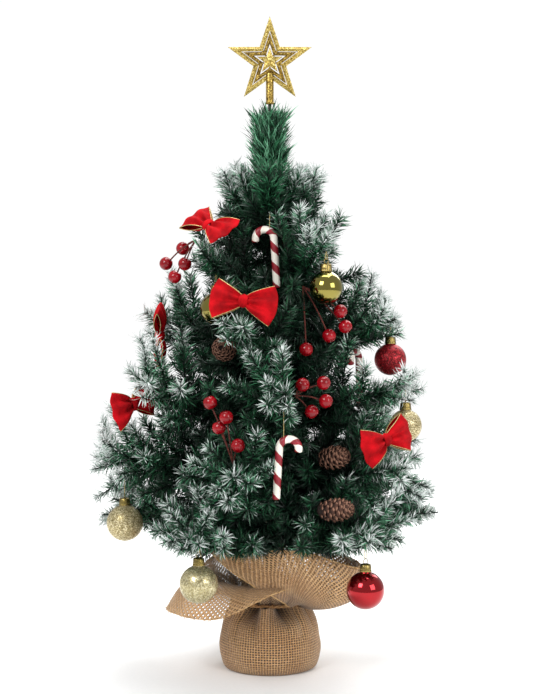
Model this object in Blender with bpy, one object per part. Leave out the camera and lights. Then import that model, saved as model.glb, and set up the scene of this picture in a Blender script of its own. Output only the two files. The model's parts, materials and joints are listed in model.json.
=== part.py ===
"""Artificial tabletop tree: a wire trunk with bendable brush branches, standing in a weighted burlap base,
hung with balls, candy canes, bows, berries and cones, with a star on top.

Metres, +Z up. The origin is on the ground under the middle of the base, and the front faces -Y.
A heading is an angle in degrees seen from above: 0 is the front, 90 the right-hand side (+X).
"""

import math

import bmesh
import bpy
from mathutils import Matrix, Vector

# ---- driving dimensions ----
GAP = 0.0003  # between pieces that touch
TREE_HEIGHT = 0.610  # ground to the star's top point

WEIGHT_RADIUS = 0.042
WEIGHT_HEIGHT = 0.046
WEIGHT_EDGE = 0.008
SOCKET_WALL = 0.0018
SOCKET_FLANGE = 0.004
SOCKET_FLOOR = 0.004
POLE_RADIUS = 0.0055
POLE_TOP_RADIUS = 0.0034
POLE_TOP = 0.402  # height where the leader takes over

CLOTH = 0.0016  # thickness of the burlap
CLOTH_EASE = 0.002  # slack between the cloth and the weight
NECK_RADIUS = 0.033
NECK_RISE = 0.016  # from the weight's top to the neck
COLLAR_RADIUS = 0.078
COLLAR_RISE = 0.042  # from the neck to the rim
DROOP = 0.044  # how far the rim hangs down where it droops most
DROOP_REACH = 0.008
DROOP_HEADING = -80.0
TIE_RADIUS = 0.0015

WIRE_RADIUS = 0.0012
BARE_WIRE = 0.016  # the stretch of a branch beside the trunk that has no needles
TIP_LIFT = 0.006  # how far a branch curves up by its tip

# root height, length along the branch, rise in degrees, brush radius, headings
TIERS = (
    (0.130, 0.144, 5.0, 0.0130, (-28.0, 38.0, 108.0, 180.0, 254.0)),
    (0.176, 0.149, 9.0, 0.0130, (-84.0, -12.0, 53.0, 126.0, 200.0)),
    (0.232, 0.130, 17.0, 0.0130, (-64.0, 6.0, 74.0, 188.0)),
    (0.278, 0.115, 25.0, 0.0125, (-104.0, -14.0, 92.0, 164.0)),
    (0.345, 0.090, 34.0, 0.0115, (-55.0, 37.0, 150.0)),
    (0.392, 0.085, 57.0, 0.0095, (-116.0, 0.0, 112.0)),
)

LEADER_RADIUS = 0.0150
LEADER_TOP = 0.516  # top of the leader's brush

STAR_RADIUS = 0.041
STAR_WAIST = 0.39  # inner corners' radius as a share of the points' radius
STAR_BAR = 0.0034  # width of the outer frame's bars
STAR_MIDDLE = 0.0245  # radius of the middle star's points
STAR_MIDDLE_BAR = 0.0032
STAR_HEART = 0.0110
STAR_THICKNESS = 0.0032
STAR_RIB = 0.0022
STEM_RADIUS = 0.0036
STEM_BORE = 0.0022
STEM_LENGTH = 0.040  # from the star's middle down

LARGE_BALL = 0.0170  # radii
SMALL_BALL = 0.0150
BALL_WALL = 0.0010
CAP_RADIUS = 0.0050
CAP_HEIGHT = 0.0072
RING_RADIUS = 0.0024
THREAD_RADIUS = 0.0005
THREAD_SPREAD = 0.0026  # half the width of a thread loop

CANE_RADIUS = 0.0034
CANE_LENGTH = 0.044  # straight part
CANE_BEND = 0.0085  # radius of the crook

BOW_HALF = 0.031
BOW_HEIGHT = 0.040
BOW_THICKNESS = 0.009
BOW_KNOT = 0.0070

BERRY_RADIUS = 0.0062
BERRY_STEM = 0.0009
CONE_RADIUS = 0.0120
CONE_LENGTH = 0.032

# ---- what hangs where ----
# A share is along the branch. A clock angle goes round it as seen from its tip: 0 is its top, 90 its right.
# name, branch, share, thread length, radius, colour
BALLS = (
    ("gold_glitter_ball_left", "branch_2_1", 0.86, 0.020, LARGE_BALL, "glitter_gold"),
    ("champagne_ball", "branch_1_1", 0.86, 0.002, LARGE_BALL, "champagne"),
    ("red_gloss_ball", "branch_1_2", 0.90, 0.010, LARGE_BALL, "red_gloss"),
    ("gold_gloss_ball", "branch_5_2", 0.95, 0.002, SMALL_BALL, "gold_gloss"),
    ("gold_glitter_ball_right", "branch_3_3", 0.95, 0.002, SMALL_BALL, "glitter_gold"),
    ("red_glitter_ball", "branch_4_3", 0.96, 0.002, SMALL_BALL, "red_glitter"),
    ("gold_gloss_ball_behind", "branch_5_1", 0.62, 0.002, SMALL_BALL, "gold_gloss"),
)
# name, branch, share, thread length, which way the crook opens
CANES = (
    ("candy_cane_top", "branch_6_2", 0.50, 0.012, -90.0),
    ("candy_cane_front", "branch_3_2", 0.88, 0.028, 90.0),
    ("candy_cane_right", "branch_4_3", 0.66, 0.004, -30.0),
)
# name, branch, share, clock, heading that it faces, pitch upwards and roll
BOWS = (
    ("bow_top_left", "branch_5_1", 0.99, -6.0, -34.0, 52.0, 24.0),
    ("bow_middle", "branch_4_2", 0.95, 0.0, -10.0, 8.0, 8.0),
    ("bow_left", "branch_4_1", 0.85, 118.0, -86.0, 0.0, 102.0),
    ("bow_left_low", "branch_3_1", 0.95, -150.0, -125.0, -14.0, 12.0),
    ("bow_right", "branch_2_3", 0.88, 0.0, 40.0, 8.0, -14.0),
)
# name, branch, share, clock, and its berries from its foot: outwards, to the right and up
SPRIGS = (
    (
        "berry_sprig_left",
        "branch_5_1",
        0.96,
        -60.0,
        ((0.012, -0.034, -0.022), (0.004, -0.014, -0.022), (0.000, -0.024, -0.008), (0.010, -0.022, -0.034)),
    ),
    (
        "berry_sprig_right",
        "branch_5_2",
        0.50,
        180.0,
        ((0.034, 0.016, -0.022), (0.036, 0.020, -0.036), (0.030, 0.006, -0.044), (0.022, -0.014, -0.056)),
    ),
    (
        "berry_sprig_front",
        "branch_3_2",
        0.70,
        70.0,
        ((0.006, 0.006, 0.010), (0.012, 0.024, 0.012), (0.012, 0.026, -0.004), (0.006, 0.014, -0.014)),
    ),
    (
        "berry_sprig_lower",
        "branch_2_2",
        0.74,
        -40.0,
        ((0.000, -0.020, 0.054), (0.006, -0.004, 0.042), (0.000, -0.012, 0.032), (0.012, 0.008, 0.018)),
    ),
)
# name, branch, share, clock, heading and pitch of its axis
CONES = (
    ("pine_cone_left", "branch_4_2", 0.60, -100.0, -10.0, 10.0),
    ("pine_cone_middle", "branch_2_3", 0.56, -48.0, 53.0, 10.0),
    ("pine_cone_right", "branch_1_2", 0.74, -30.0, 80.0, 5.0),
)

COLOURS = {
    "cement": ((0.45, 0.44, 0.42), 0.9, 0.0),
    "black_plastic": ((0.03, 0.03, 0.03), 0.5, 0.0),
    "burlap": ((0.50, 0.33, 0.17), 0.95, 0.0),
    "twine": ((0.42, 0.28, 0.14), 0.95, 0.0),
    "trunk_tape": ((0.05, 0.09, 0.05), 0.7, 0.0),
    "needles": ((0.03, 0.16, 0.09), 0.6, 0.0),
    "star_gold": ((0.55, 0.40, 0.12), 0.4, 0.8),
    "glitter_gold": ((0.62, 0.48, 0.22), 0.45, 0.8),
    "champagne": ((0.66, 0.60, 0.38), 0.3, 0.8),
    "gold_gloss": ((0.60, 0.42, 0.06), 0.1, 1.0),
    "red_gloss": ((0.45, 0.00, 0.02), 0.1, 0.6),
    "red_glitter": ((0.50, 0.02, 0.03), 0.5, 0.4),
    "cap_gold": ((0.50, 0.38, 0.14), 0.3, 0.9),
    "cane_white": ((0.80, 0.76, 0.68), 0.4, 0.0),
    "bow_red": ((0.60, 0.01, 0.02), 0.9, 0.0),
    "berry_red": ((0.45, 0.01, 0.02), 0.2, 0.0),
    "cone_brown": ((0.14, 0.07, 0.04), 0.8, 0.0),
}

# ---- derived sizes ----
SOCKET_BORE = POLE_RADIUS + GAP
SOCKET_RADIUS = SOCKET_BORE + SOCKET_WALL
WEIGHT_FOOT = CLOTH + GAP
WEIGHT_TOP = WEIGHT_FOOT + WEIGHT_HEIGHT
SOCKET_FOOT = WEIGHT_FOOT + SOCKET_FLOOR
POLE_FOOT = SOCKET_FOOT + SOCKET_FLOOR + GAP
NECK_HEIGHT = WEIGHT_TOP + NECK_RISE
STAR_MIDDLE_HEIGHT = TREE_HEIGHT - STAR_RADIUS


# ---- mesh tools ----
def smooth_object(name, mesh, colour, place=Matrix.Identity(4)):
    """One visible piece in the scene, its round faces shaded smooth."""
    mesh.name = name
    mesh.shade_smooth()
    mesh.set_sharp_from_angle(angle=math.radians(40))
    obj = bpy.data.objects.new(name, mesh)
    obj.matrix_world = place
    mesh.materials.clear()
    mesh.materials.append(MATERIALS[colour])
    bpy.context.scene.collection.objects.link(obj)
    return obj


def hang_on(obj, parent):
    """Parents a piece without moving it."""
    bpy.context.view_layer.update()
    obj.parent = parent
    obj.matrix_parent_inverse = parent.matrix_world.inverted()


def mesh_from(bm):
    bmesh.ops.recalc_face_normals(bm, faces=bm.faces)
    mesh = bpy.data.meshes.new("mesh")
    bm.to_mesh(mesh)
    bm.free()
    return mesh


def skin_rings(bm, rings, closed=False):
    """Faces between rings of equal count, with a fan over each end unless the rings close on themselves."""
    count = len(rings[0])
    pairs = list(zip(rings, rings[1:]))
    if closed:
        pairs.append((rings[-1], rings[0]))
    for low, high in pairs:
        for i in range(count):
            j = (i + 1) % count
            bm.faces.new((low[i], low[j], high[j], high[i]))
    if not closed:
        bm.faces.new(rings[0])
        bm.faces.new(rings[-1])


def turned(profile, steps):
    """A solid of revolution about Z. A profile point is (radius, height); radius 0 is a pole."""
    bm = bmesh.new()
    rings = []
    for radius, height in profile:
        if radius == 0:
            rings.append([bm.verts.new((0, 0, height))])
        else:
            angles = (2 * math.pi * i / steps for i in range(steps))
            rings.append([bm.verts.new((radius * math.cos(a), radius * math.sin(a), height)) for a in angles])
    for low, high in zip(rings, rings[1:]):
        for i in range(steps):
            j = (i + 1) % steps
            corners = [low[i % len(low)], low[j % len(low)], high[j % len(high)], high[i % len(high)]]
            bm.faces.new(list(dict.fromkeys(corners)))
    if len(rings[0]) > 1:  # a profile that ends off the axis is a ring, closed on itself
        for i in range(steps):
            j = (i + 1) % steps
            bm.faces.new((rings[-1][i], rings[-1][j], rings[0][j], rings[0][i]))
    return mesh_from(bm)


def swept(points, sizes, sides, closed=False, across=Vector((0, 1, 0))):
    """A tube along points. A size is a radius, or (half width along across, half depth)."""
    points = [Vector(p) for p in points]
    count = len(points)
    bm = bmesh.new()
    rings = []
    for i, point in enumerate(points):
        before = points[i - 1] if i or closed else point
        after = points[(i + 1) % count] if i < count - 1 or closed else point
        along = (after - before).normalized()
        side = (across - across.dot(along) * along).normalized()
        up = along.cross(side)
        wide, deep = sizes[i] if isinstance(sizes[i], tuple) else (sizes[i], sizes[i])
        ring = []
        for k in range(sides):
            a = 2 * math.pi * k / sides
            ring.append(bm.verts.new(point + side * (wide * math.cos(a)) + up * (deep * math.sin(a))))
        rings.append(ring)
    skin_rings(bm, rings, closed)
    return mesh_from(bm)


def ball_mesh(centre, radius, detail=2):
    bm = bmesh.new()
    bmesh.ops.create_icosphere(bm, subdivisions=detail, radius=radius, matrix=Matrix.Translation(centre))
    return mesh_from(bm)


def united(meshes):
    """The Boolean union of overlapping closed meshes, as one mesh."""
    first, *others = [bpy.data.objects.new("piece", mesh) for mesh in meshes]
    for obj in (first, *others):
        bpy.context.scene.collection.objects.link(obj)
    for other in others:
        modifier = first.modifiers.new("join", "BOOLEAN")
        modifier.operation = "UNION"
        modifier.object = other
    graph = bpy.context.evaluated_depsgraph_get()
    graph.update()
    mesh = bpy.data.meshes.new_from_object(first.evaluated_get(graph))
    for obj in (first, *others):
        bpy.data.objects.remove(obj)
    return mesh


def prism(outline, holes_in, low, high):
    """A plate along Y between low and high, from an outline in X and Z, hollow inside holes_in if given."""
    bm = bmesh.new()
    loops = [outline] if holes_in is None else [outline, holes_in]
    levels = [[[bm.verts.new((x, y, z)) for x, z in loop] for y in (low, high)] for loop in loops]
    count = len(outline)
    for front, back in levels:
        for i in range(count):
            j = (i + 1) % count
            bm.faces.new((front[i], front[j], back[j], back[i]))
    for side in (0, 1):
        if holes_in is None:
            bm.faces.new(levels[0][side])
            continue
        for i in range(count):
            j = (i + 1) % count
            outer, inner = levels[0][side], levels[1][side]
            bm.faces.new((outer[i], outer[j], inner[j], inner[i]))
    bmesh.ops.triangulate(bm, faces=[f for f in bm.faces if len(f.verts) > 4])
    return mesh_from(bm)


def materials():
    made = {}
    for name, (colour, roughness, metallic) in COLOURS.items():
        material = bpy.data.materials.new(name)
        material.use_nodes = True
        shader = material.node_tree.nodes["Principled BSDF"]
        shader.inputs["Base Color"].default_value = (*colour, 1.0)
        shader.inputs["Roughness"].default_value = roughness
        shader.inputs["Metallic"].default_value = metallic
        material.diffuse_color = (*colour, 1.0)
        made[name] = material
    return made


# ---- the base ----
def make_weight():
    """A poured cement disc with a hole for the socket, its upper edge chamfered."""
    hole = SOCKET_RADIUS + GAP
    profile = (
        (hole, SOCKET_FOOT - GAP),
        (hole, WEIGHT_TOP),
        (WEIGHT_RADIUS - WEIGHT_EDGE, WEIGHT_TOP),
        (WEIGHT_RADIUS, WEIGHT_TOP - WEIGHT_EDGE),
        (WEIGHT_RADIUS, WEIGHT_FOOT + WEIGHT_EDGE / 2),
        (WEIGHT_RADIUS - WEIGHT_EDGE / 2, WEIGHT_FOOT),
        (0, WEIGHT_FOOT),
    )
    return smooth_object("base_weight", turned(((0, SOCKET_FOOT - GAP), *profile), 32), "cement")


def make_socket():
    """The plastic sleeve cast into the weight. Its flange lies on the weight's top."""
    top = WEIGHT_TOP + GAP + SOCKET_WALL
    profile = (
        (0, SOCKET_FOOT),
        (SOCKET_RADIUS, SOCKET_FOOT),
        (SOCKET_RADIUS, WEIGHT_TOP + GAP),
        (SOCKET_RADIUS + SOCKET_FLANGE, WEIGHT_TOP + GAP),
        (SOCKET_RADIUS + SOCKET_FLANGE, top),
        (SOCKET_BORE, top),
        (SOCKET_BORE, SOCKET_FOOT + SOCKET_FLOOR),
        (0, SOCKET_FOOT + SOCKET_FLOOR),
    )
    return smooth_object("pole_socket", turned(profile, 20), "black_plastic")


def make_pole():
    """The wrapped wire trunk, from the socket's floor to the leader."""
    profile = (
        (0, POLE_FOOT),
        (POLE_RADIUS, POLE_FOOT),
        (POLE_RADIUS, TIERS[-2][0] - BARE_WIRE),
        (POLE_TOP_RADIUS, POLE_TOP),
        (0, POLE_TOP),
    )
    return smooth_object("trunk_pole", turned(profile, 16), "trunk_tape")


def cloth_profile():
    """The burlap's outer side, bottom to rim: (radius, height, how much of the collar's droop acts there)."""
    bag = WEIGHT_RADIUS + CLOTH_EASE + CLOTH
    rim = NECK_HEIGHT + COLLAR_RISE
    return (
        (bag - WEIGHT_EDGE / 2, 0.0, 0.0),
        (bag, WEIGHT_EDGE / 2, 0.0),
        (bag + CLOTH_EASE, 0.5 * WEIGHT_TOP, 0.0),
        (bag, WEIGHT_TOP - WEIGHT_EDGE, 0.0),
        (0.4 * bag + 0.6 * NECK_RADIUS, WEIGHT_TOP + 0.45 * NECK_RISE, 0.0),
        (NECK_RADIUS, NECK_HEIGHT, 0.0),
        (NECK_RADIUS + 0.20 * (COLLAR_RADIUS - NECK_RADIUS), NECK_HEIGHT + 0.40 * COLLAR_RISE, 0.10),
        (NECK_RADIUS + 0.60 * (COLLAR_RADIUS - NECK_RADIUS), NECK_HEIGHT + 0.80 * COLLAR_RISE, 0.45),
        (COLLAR_RADIUS, rim, 1.0),
    )


def make_burlap():
    """One cloth: a bag under and round the weight, gathered at the neck and spread above it as a collar."""
    steps = 28
    outer = cloth_profile()
    inner = [(r - CLOTH, max(z, CLOTH), d) for r, z, d in outer[:6]]
    inner += [(r - 0.35 * CLOTH, z + CLOTH, d) for r, z, d in outer[6:]]
    bm = bmesh.new()
    under, over = bm.verts.new((0, 0, 0)), bm.verts.new((0, 0, CLOTH))

    def ring(radius, height, droop):
        made = []
        for i in range(steps):
            a = 2 * math.pi * i / steps
            heading = math.degrees(a) + 90
            hang = max(0.0, math.cos(math.radians(heading - DROOP_HEADING))) ** 2 * droop
            r = radius + DROOP_REACH * hang
            made.append(bm.verts.new((r * math.cos(a), r * math.sin(a), height - DROOP * hang)))
        return made

    outside = [ring(*p) for p in outer]
    inside = [ring(*p) for p in inner]
    for i in range(steps):
        j = (i + 1) % steps
        bm.faces.new((under, outside[0][i], outside[0][j]))
        bm.faces.new((over, inside[0][i], inside[0][j]))
        bm.faces.new((outside[-1][i], outside[-1][j], inside[-1][j], inside[-1][i]))
        for rings in (outside, inside):
            for low, high in zip(rings, rings[1:]):
                bm.faces.new((low[i], low[j], high[j], high[i]))
    return smooth_object("burlap_wrap", mesh_from(bm), "burlap")


def make_tie():
    """Twine round the burlap's neck."""
    reach = NECK_RADIUS + 2 * TIE_RADIUS  # clear of the cloth where it widens above and below
    points = [
        (reach * math.cos(2 * math.pi * i / 32), reach * math.sin(2 * math.pi * i / 32), NECK_HEIGHT)
        for i in range(32)
    ]
    mesh = swept(points, [TIE_RADIUS] * 32, 6, closed=True, across=Vector((0, 0, 1)))
    return smooth_object("neck_tie", mesh, "twine")


# ---- the branches ----
def branch_names():
    return [f"branch_{t}_{k}" for t, tier in enumerate(TIERS, 1) for k in range(1, len(tier[4]) + 1)]


def branch_facts(name):
    """(root height, length, rise, brush radius, heading) of a branch."""
    _, tier, number = name.split("_")
    height, length, rise, radius, headings = TIERS[int(tier) - 1]
    return height, length, math.radians(rise), radius, headings[int(number) - 1]


def pole_radius_at(height):
    start = TIERS[-2][0] - BARE_WIRE
    share = min(1.0, max(0.0, (height - start) / (POLE_TOP - start)))
    return POLE_RADIUS + share * (POLE_TOP_RADIUS - POLE_RADIUS)


def hinge_place(name):
    """The branch's own frame: its origin on the bend beside the trunk, X outwards, Y to its right, Z up."""
    height, _, _, _, heading = branch_facts(name)
    turn = Matrix.Rotation(math.radians(heading - 90), 4, "Z")
    reach = pole_radius_at(height) + WIRE_RADIUS + GAP
    return Matrix.Translation((0, 0, height)) @ turn @ Matrix.Translation((reach, 0, 0))


def branch_point(name, share):
    """A point of the branch's centre line in its own frame."""
    _, length, rise, _, _ = branch_facts(name)
    return Vector((length * share * math.cos(rise), 0, length * share * math.sin(rise) + TIP_LIFT * share**2))


def brush_radius(name, share):
    """The brush's radius: bare wire, then a cone, an even stretch and a round tip."""
    _, length, _, radius, _ = branch_facts(name)
    along = share * length
    if along <= BARE_WIRE:
        return WIRE_RADIUS
    grown = min(1.0, 0.30 + 0.70 * (along - BARE_WIRE) / (0.36 * length))
    left = max(0.0, length - along)
    tip = math.sqrt(max(0.0, 1 - (1 - min(1.0, left / (1.3 * radius))) ** 2))
    return max(WIRE_RADIUS, radius * grown * (0.30 + 0.70 * tip))


def perch(name, share, clock, clearance=GAP):
    """A point just off the brush and the way that faces there, in the tree's frame.

    Clock 0 is the brush's top and 90 its right.
    """
    ahead = branch_point(name, min(1.0, share + 0.01)) - branch_point(name, share - 0.01)
    along = ahead.normalized()
    right = Vector((0, 1, 0))
    up = along.cross(right) * -1 if along.cross(right).z < 0 else along.cross(right)
    a = math.radians(clock)
    out = up * math.cos(a) + right * math.sin(a)
    near = (share - 0.06, share, min(1.0, share + 0.06))
    point = branch_point(name, share) + out * (max(brush_radius(name, s) for s in near) + clearance)
    place = hinge_place(name)
    return place @ point, place.to_3x3() @ out


def make_branch(name):
    """A twisted wire with its needles, as one spindle. Its origin is where it bends at the trunk."""
    _, length, _, _, _ = branch_facts(name)
    bare = BARE_WIRE / length
    shares = (0.0, bare, bare + 0.015, 0.28, 0.40, 0.70, 0.88, 0.96, 1.0)
    points = [branch_point(name, s) for s in shares]
    inward = points[0] - 0.8 * WIRE_RADIUS * (points[1] - points[0]).normalized()  # a round end at the bend
    mesh = swept([inward, *points], [0.6 * WIRE_RADIUS, *(brush_radius(name, s) for s in shares)], 8)
    return smooth_object(name, mesh, "needles", hinge_place(name))


def make_leader():
    """The upright top brush, with the bare wire that the star slips onto."""
    foot = POLE_TOP + GAP
    rise = LEADER_TOP - foot
    profile = (
        (0, foot),
        (POLE_TOP_RADIUS, foot),
        (0.30 * LEADER_RADIUS, foot + 0.06 * rise),
        (0.50 * LEADER_RADIUS, foot + 0.28 * rise),
        (0.85 * LEADER_RADIUS, foot + 0.50 * rise),
        (LEADER_RADIUS, foot + 0.66 * rise),
        (0.95 * LEADER_RADIUS, foot + 0.84 * rise),
        (0.60 * LEADER_RADIUS, LEADER_TOP - 0.003),
        (STEM_BORE - GAP, LEADER_TOP),
        (STEM_BORE - GAP, STAR_MIDDLE_HEIGHT - 0.62 * STEM_LENGTH),
        (0, STAR_MIDDLE_HEIGHT - 0.62 * STEM_LENGTH),
    )
    return smooth_object("leader_tip", turned(profile, 14), "needles")


# ---- the star ----
def star_outline(radius, waist=STAR_WAIST):
    """Ten corners of an upright star about the origin, in X and Z."""
    corners = []
    for i in range(10):
        r = radius if i % 2 == 0 else radius * waist
        a = math.pi / 2 + math.pi * i / 5
        corners.append((r * math.cos(a), r * math.sin(a)))
    return corners


def inset_star(radius, bar):
    """The outline moved in by bar. A star's sides are all equally far from its middle, so it only shrinks."""
    (x0, z0), (x1, z1) = star_outline(radius)[:2]
    reach = abs(x0 * z1 - x1 * z0) / math.hypot(x1 - x0, z1 - z0)
    return star_outline(radius * (reach - bar) / reach)


def make_star():
    """Two star frames round a small star, held by ribs, on a tube that slips over the leader."""
    half = STAR_THICKNESS / 2
    pieces = [
        prism(star_outline(STAR_RADIUS), inset_star(STAR_RADIUS, STAR_BAR), -half, half),
        prism(star_outline(STAR_MIDDLE), inset_star(STAR_MIDDLE, STAR_MIDDLE_BAR), -half * 1.2, half * 1.2),
        prism(star_outline(STAR_HEART), None, -half * 1.1, half * 1.1),
    ]
    reach = STAR_RADIUS * STAR_WAIST - STAR_BAR / 2
    for i in range(5):
        rib = prism(
            ((-STAR_RIB / 2, 0), (STAR_RIB / 2, 0), (STAR_RIB / 2, reach), (-STAR_RIB / 2, reach)),
            None,
            -half * 0.8,
            half * 0.8,
        )
        rib.transform(Matrix.Rotation(math.pi / 5 + 2 * math.pi * i / 5, 4, "Y"))
        pieces.append(rib)
    top = -STAR_MIDDLE * STAR_WAIST * 0.9
    tube = turned(
        (
            (0, top),
            (STEM_RADIUS, top),
            (STEM_RADIUS, -STEM_LENGTH),
            (STEM_BORE, -STEM_LENGTH),
            (STEM_BORE, top - SOCKET_WALL),
            (0, top - SOCKET_WALL),
        ),
        16,
    )
    pieces.append(tube)
    place = Matrix.Translation((0, 0, STAR_MIDDLE_HEIGHT))
    return smooth_object("star_topper", united(pieces), "star_gold", place)


# ---- what hangs ----
def thread_loop(low, high):
    """A loop of gold thread in the local X and Z plane, from low up to high."""
    count = 10
    points = []
    for i in range(count):
        a = 2 * math.pi * i / count
        x = THREAD_SPREAD * math.sin(a) * (0.55 + 0.45 * math.cos(a))
        points.append((x, 0, low + (high - low) * (0.5 - 0.5 * math.cos(a))))
    return swept(points, [THREAD_RADIUS] * count, 3, closed=True)


def turned_arc(radius, centre, start, count):
    """Points of a half circle from the start angle off the top down to the bottom pole."""
    angles = [start + (math.pi - start) * i / count for i in range(count)]
    return [(radius * math.sin(a), centre + radius * math.cos(a)) for a in angles] + [(0, centre - radius)]


def make_ball(name, branch, share, thread, radius, colour):
    """A blown plastic ball, open at its neck, and its crimped cap with ring and thread.

    Both turn about the thread's top.
    """
    top, _ = perch(branch, share, 180.0)
    place = Matrix.Translation(top) @ Matrix.Rotation(math.radians(branch_facts(branch)[4]), 4, "Z")
    neck = CAP_RADIUS - 2 * GAP
    cap_top = -thread - 2 * RING_RADIUS
    seat = cap_top - CAP_HEIGHT
    centre = seat - GAP - math.sqrt(radius**2 - (CAP_RADIUS + GAP) ** 2)
    lip = cap_top - 3 * GAP
    outer = turned_arc(radius, centre, math.asin(neck / radius), 7)
    inner = turned_arc(radius - BALL_WALL, centre, math.asin((neck - BALL_WALL) / (radius - BALL_WALL)), 5)
    profile = [*inner[::-1], (neck - BALL_WALL, lip - GAP), (neck, lip - GAP), *outer]
    shell = smooth_object(name, turned(profile, 12), colour, place)
    skirt = turned(
        (
            (0, cap_top),
            (CAP_RADIUS - GAP, cap_top),
            (CAP_RADIUS + GAP, seat + GAP),
            (CAP_RADIUS - GAP, seat + GAP),
            (CAP_RADIUS - GAP, lip),
            (0, lip),
        ),
        10,
    )
    turns = [2 * math.pi * i / 6 for i in range(6)]
    ring_points = [(0, RING_RADIUS * math.sin(a), cap_top + RING_RADIUS * (0.8 + math.cos(a))) for a in turns]
    ring = swept(ring_points, [THREAD_RADIUS] * 6, 4, closed=True, across=Vector((1, 0, 0)))
    loop = thread_loop(cap_top + 1.6 * RING_RADIUS, -THREAD_RADIUS)
    cap = smooth_object(f"{name}_cap", united([skirt, ring, loop]), "cap_gold", place)
    for piece in (shell, cap):
        hang_on(piece, bpy.data.objects[branch])


def cane_line():
    """The cane's centre line in its own plane, from the foot up round the crook."""
    points = [(0.0, 0.0), (0.0, CANE_LENGTH / 2), (0.0, CANE_LENGTH)]
    for i in range(1, 8):
        a = math.pi * 1.05 * i / 7
        points.append((CANE_BEND - CANE_BEND * math.cos(a), CANE_LENGTH + CANE_BEND * math.sin(a)))
    return [Vector((x, 0, z)) for x, z in points]


def make_cane(name, branch, share, thread, opens):
    """A candy cane hung by its crook. It tilts so that its middle of mass is under the thread."""
    line = cane_line()
    steps = [(b - a).length for a, b in zip(line, line[1:])]
    middles = [(a + b) / 2 for a, b in zip(line, line[1:])]
    mass = sum((m * d for m, d in zip(middles, steps)), Vector()) / sum(steps)
    hung = line[4]
    upright = (mass - hung).rotation_difference(Vector((0, 0, -1))).to_matrix()
    drop = Vector((0, 0, -thread - CANE_RADIUS))
    line = [upright @ (p - hung) + drop for p in line]
    ends = [0.72 * CANE_RADIUS] + [CANE_RADIUS] * (len(line) - 2) + [0.72 * CANE_RADIUS]
    loop = thread_loop(-thread - CANE_RADIUS, -THREAD_RADIUS)
    top, _ = perch(branch, share, 180.0)
    place = Matrix.Translation(top) @ Matrix.Rotation(math.radians(opens - 90), 4, "Z")
    cane = smooth_object(name, united([swept(line, ends, 8), loop]), "cane_white", place)
    hang_on(cane, bpy.data.objects[branch])


def facing(heading, pitch=0.0, roll=0.0):
    """A turn that points local -Y along the heading and up by the pitch, rolled about it."""
    turn = Matrix.Rotation(math.radians(heading), 4, "Z")
    return turn @ Matrix.Rotation(math.radians(-pitch), 4, "X") @ Matrix.Rotation(math.radians(roll), 4, "Y")


def make_bow(name, branch, share, clock, heading, pitch, roll):
    """A ribbon bow as one soft solid: two fans that meet in a knot, which is wired to the branch."""
    point, _ = perch(branch, share, clock, BOW_KNOT + BOW_THICKNESS / 2)
    stations = (-1.0, -0.9, -0.15, 0.15, 0.9, 1.0)
    heights = (0.78, 1.0, 0.24, 0.24, 1.0, 0.78)
    depths = (0.4, 0.9, 1.0, 1.0, 0.9, 0.4)
    points = [(BOW_HALF * s, 0, 0) for s in stations]
    sizes = [(BOW_THICKNESS / 2 * d, BOW_HEIGHT / 2 * h) for h, d in zip(heights, depths)]
    place = Matrix.Translation(point) @ facing(heading, pitch, roll)
    bow = smooth_object(name, swept(points, sizes, 8), "bow_red", place)
    hang_on(bow, bpy.data.objects[branch])


def make_sprig(name, branch, share, clock, berries):
    """A pick of berries: each on its wire from a common foot at the branch."""
    foot, out = perch(branch, share, clock, BERRY_STEM + GAP)
    heading = math.radians(branch_facts(branch)[4])
    turn = Matrix.Rotation(heading - math.pi / 2, 3, "Z")
    pieces = [ball_mesh(out * BERRY_STEM * 1.5, 2 * BERRY_STEM, 1)]
    for offset in berries:
        centre = turn @ Vector(offset)
        middle = 0.5 * centre + 0.12 * centre.length * out
        stem = (out * BERRY_STEM, middle, centre)
        pieces.append(swept(stem, [BERRY_STEM] * 3, 4, across=Vector((0.3, 0.9, 0.2))))
        pieces.append(ball_mesh(centre, BERRY_RADIUS))
    sprig = smooth_object(name, united(pieces), "berry_red", Matrix.Translation(foot))
    hang_on(sprig, bpy.data.objects[branch])


def make_cone(name, branch, share, clock, heading, pitch):
    """A small dried cone: rows of scales round an egg shape, wired to the branch by its middle."""
    rows = 6
    profile = [(0, -CONE_LENGTH / 2)]
    for i in range(rows):
        t = (i + 0.2) / rows
        width = CONE_RADIUS * math.sin(math.pi * (0.14 + 0.80 * t)) ** 0.7
        profile.append((width, CONE_LENGTH * (t - 0.5)))
        profile.append((0.78 * width, CONE_LENGTH * (t + 0.55 / rows - 0.5)))
    profile.append((0, CONE_LENGTH / 2))
    point, _ = perch(branch, share, clock, CONE_RADIUS)
    place = Matrix.Translation(point) @ facing(heading, pitch) @ Matrix.Rotation(math.radians(90), 4, "X")
    cone = smooth_object(name, turned(profile, 10), "cone_brown", place)
    hang_on(cone, bpy.data.objects[branch])


def clear_scene():
    for obj in list(bpy.data.objects):
        bpy.data.objects.remove(obj)


clear_scene()
MATERIALS = materials()
make_weight()
make_socket()
make_burlap()
make_tie()
make_pole()
make_leader()
make_star()
for branch_name in branch_names():
    make_branch(branch_name)
for ball in BALLS:
    make_ball(*ball)
for cane in CANES:
    make_cane(*cane)
for bow in BOWS:
    make_bow(*bow)
for sprig in SPRIGS:
    make_sprig(*sprig)
for cone in CONES:
    make_cone(*cone)
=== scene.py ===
"""Artificial tabletop tree: frosted wire-and-film branches on a taped trunk, in a burlap-wrapped base,
hung with baubles, candy canes, velvet bows, berry picks and cones, under a glittered star.

Metres, +Z up, front towards -Y. A heading is an angle in degrees from above: 0 is the front, 90 the right.
"""

import json
import math
import random

import bmesh
import bpy
import numpy as np
from mathutils import Matrix, Vector, noise
from mathutils.bvhtree import BVHTree


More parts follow.
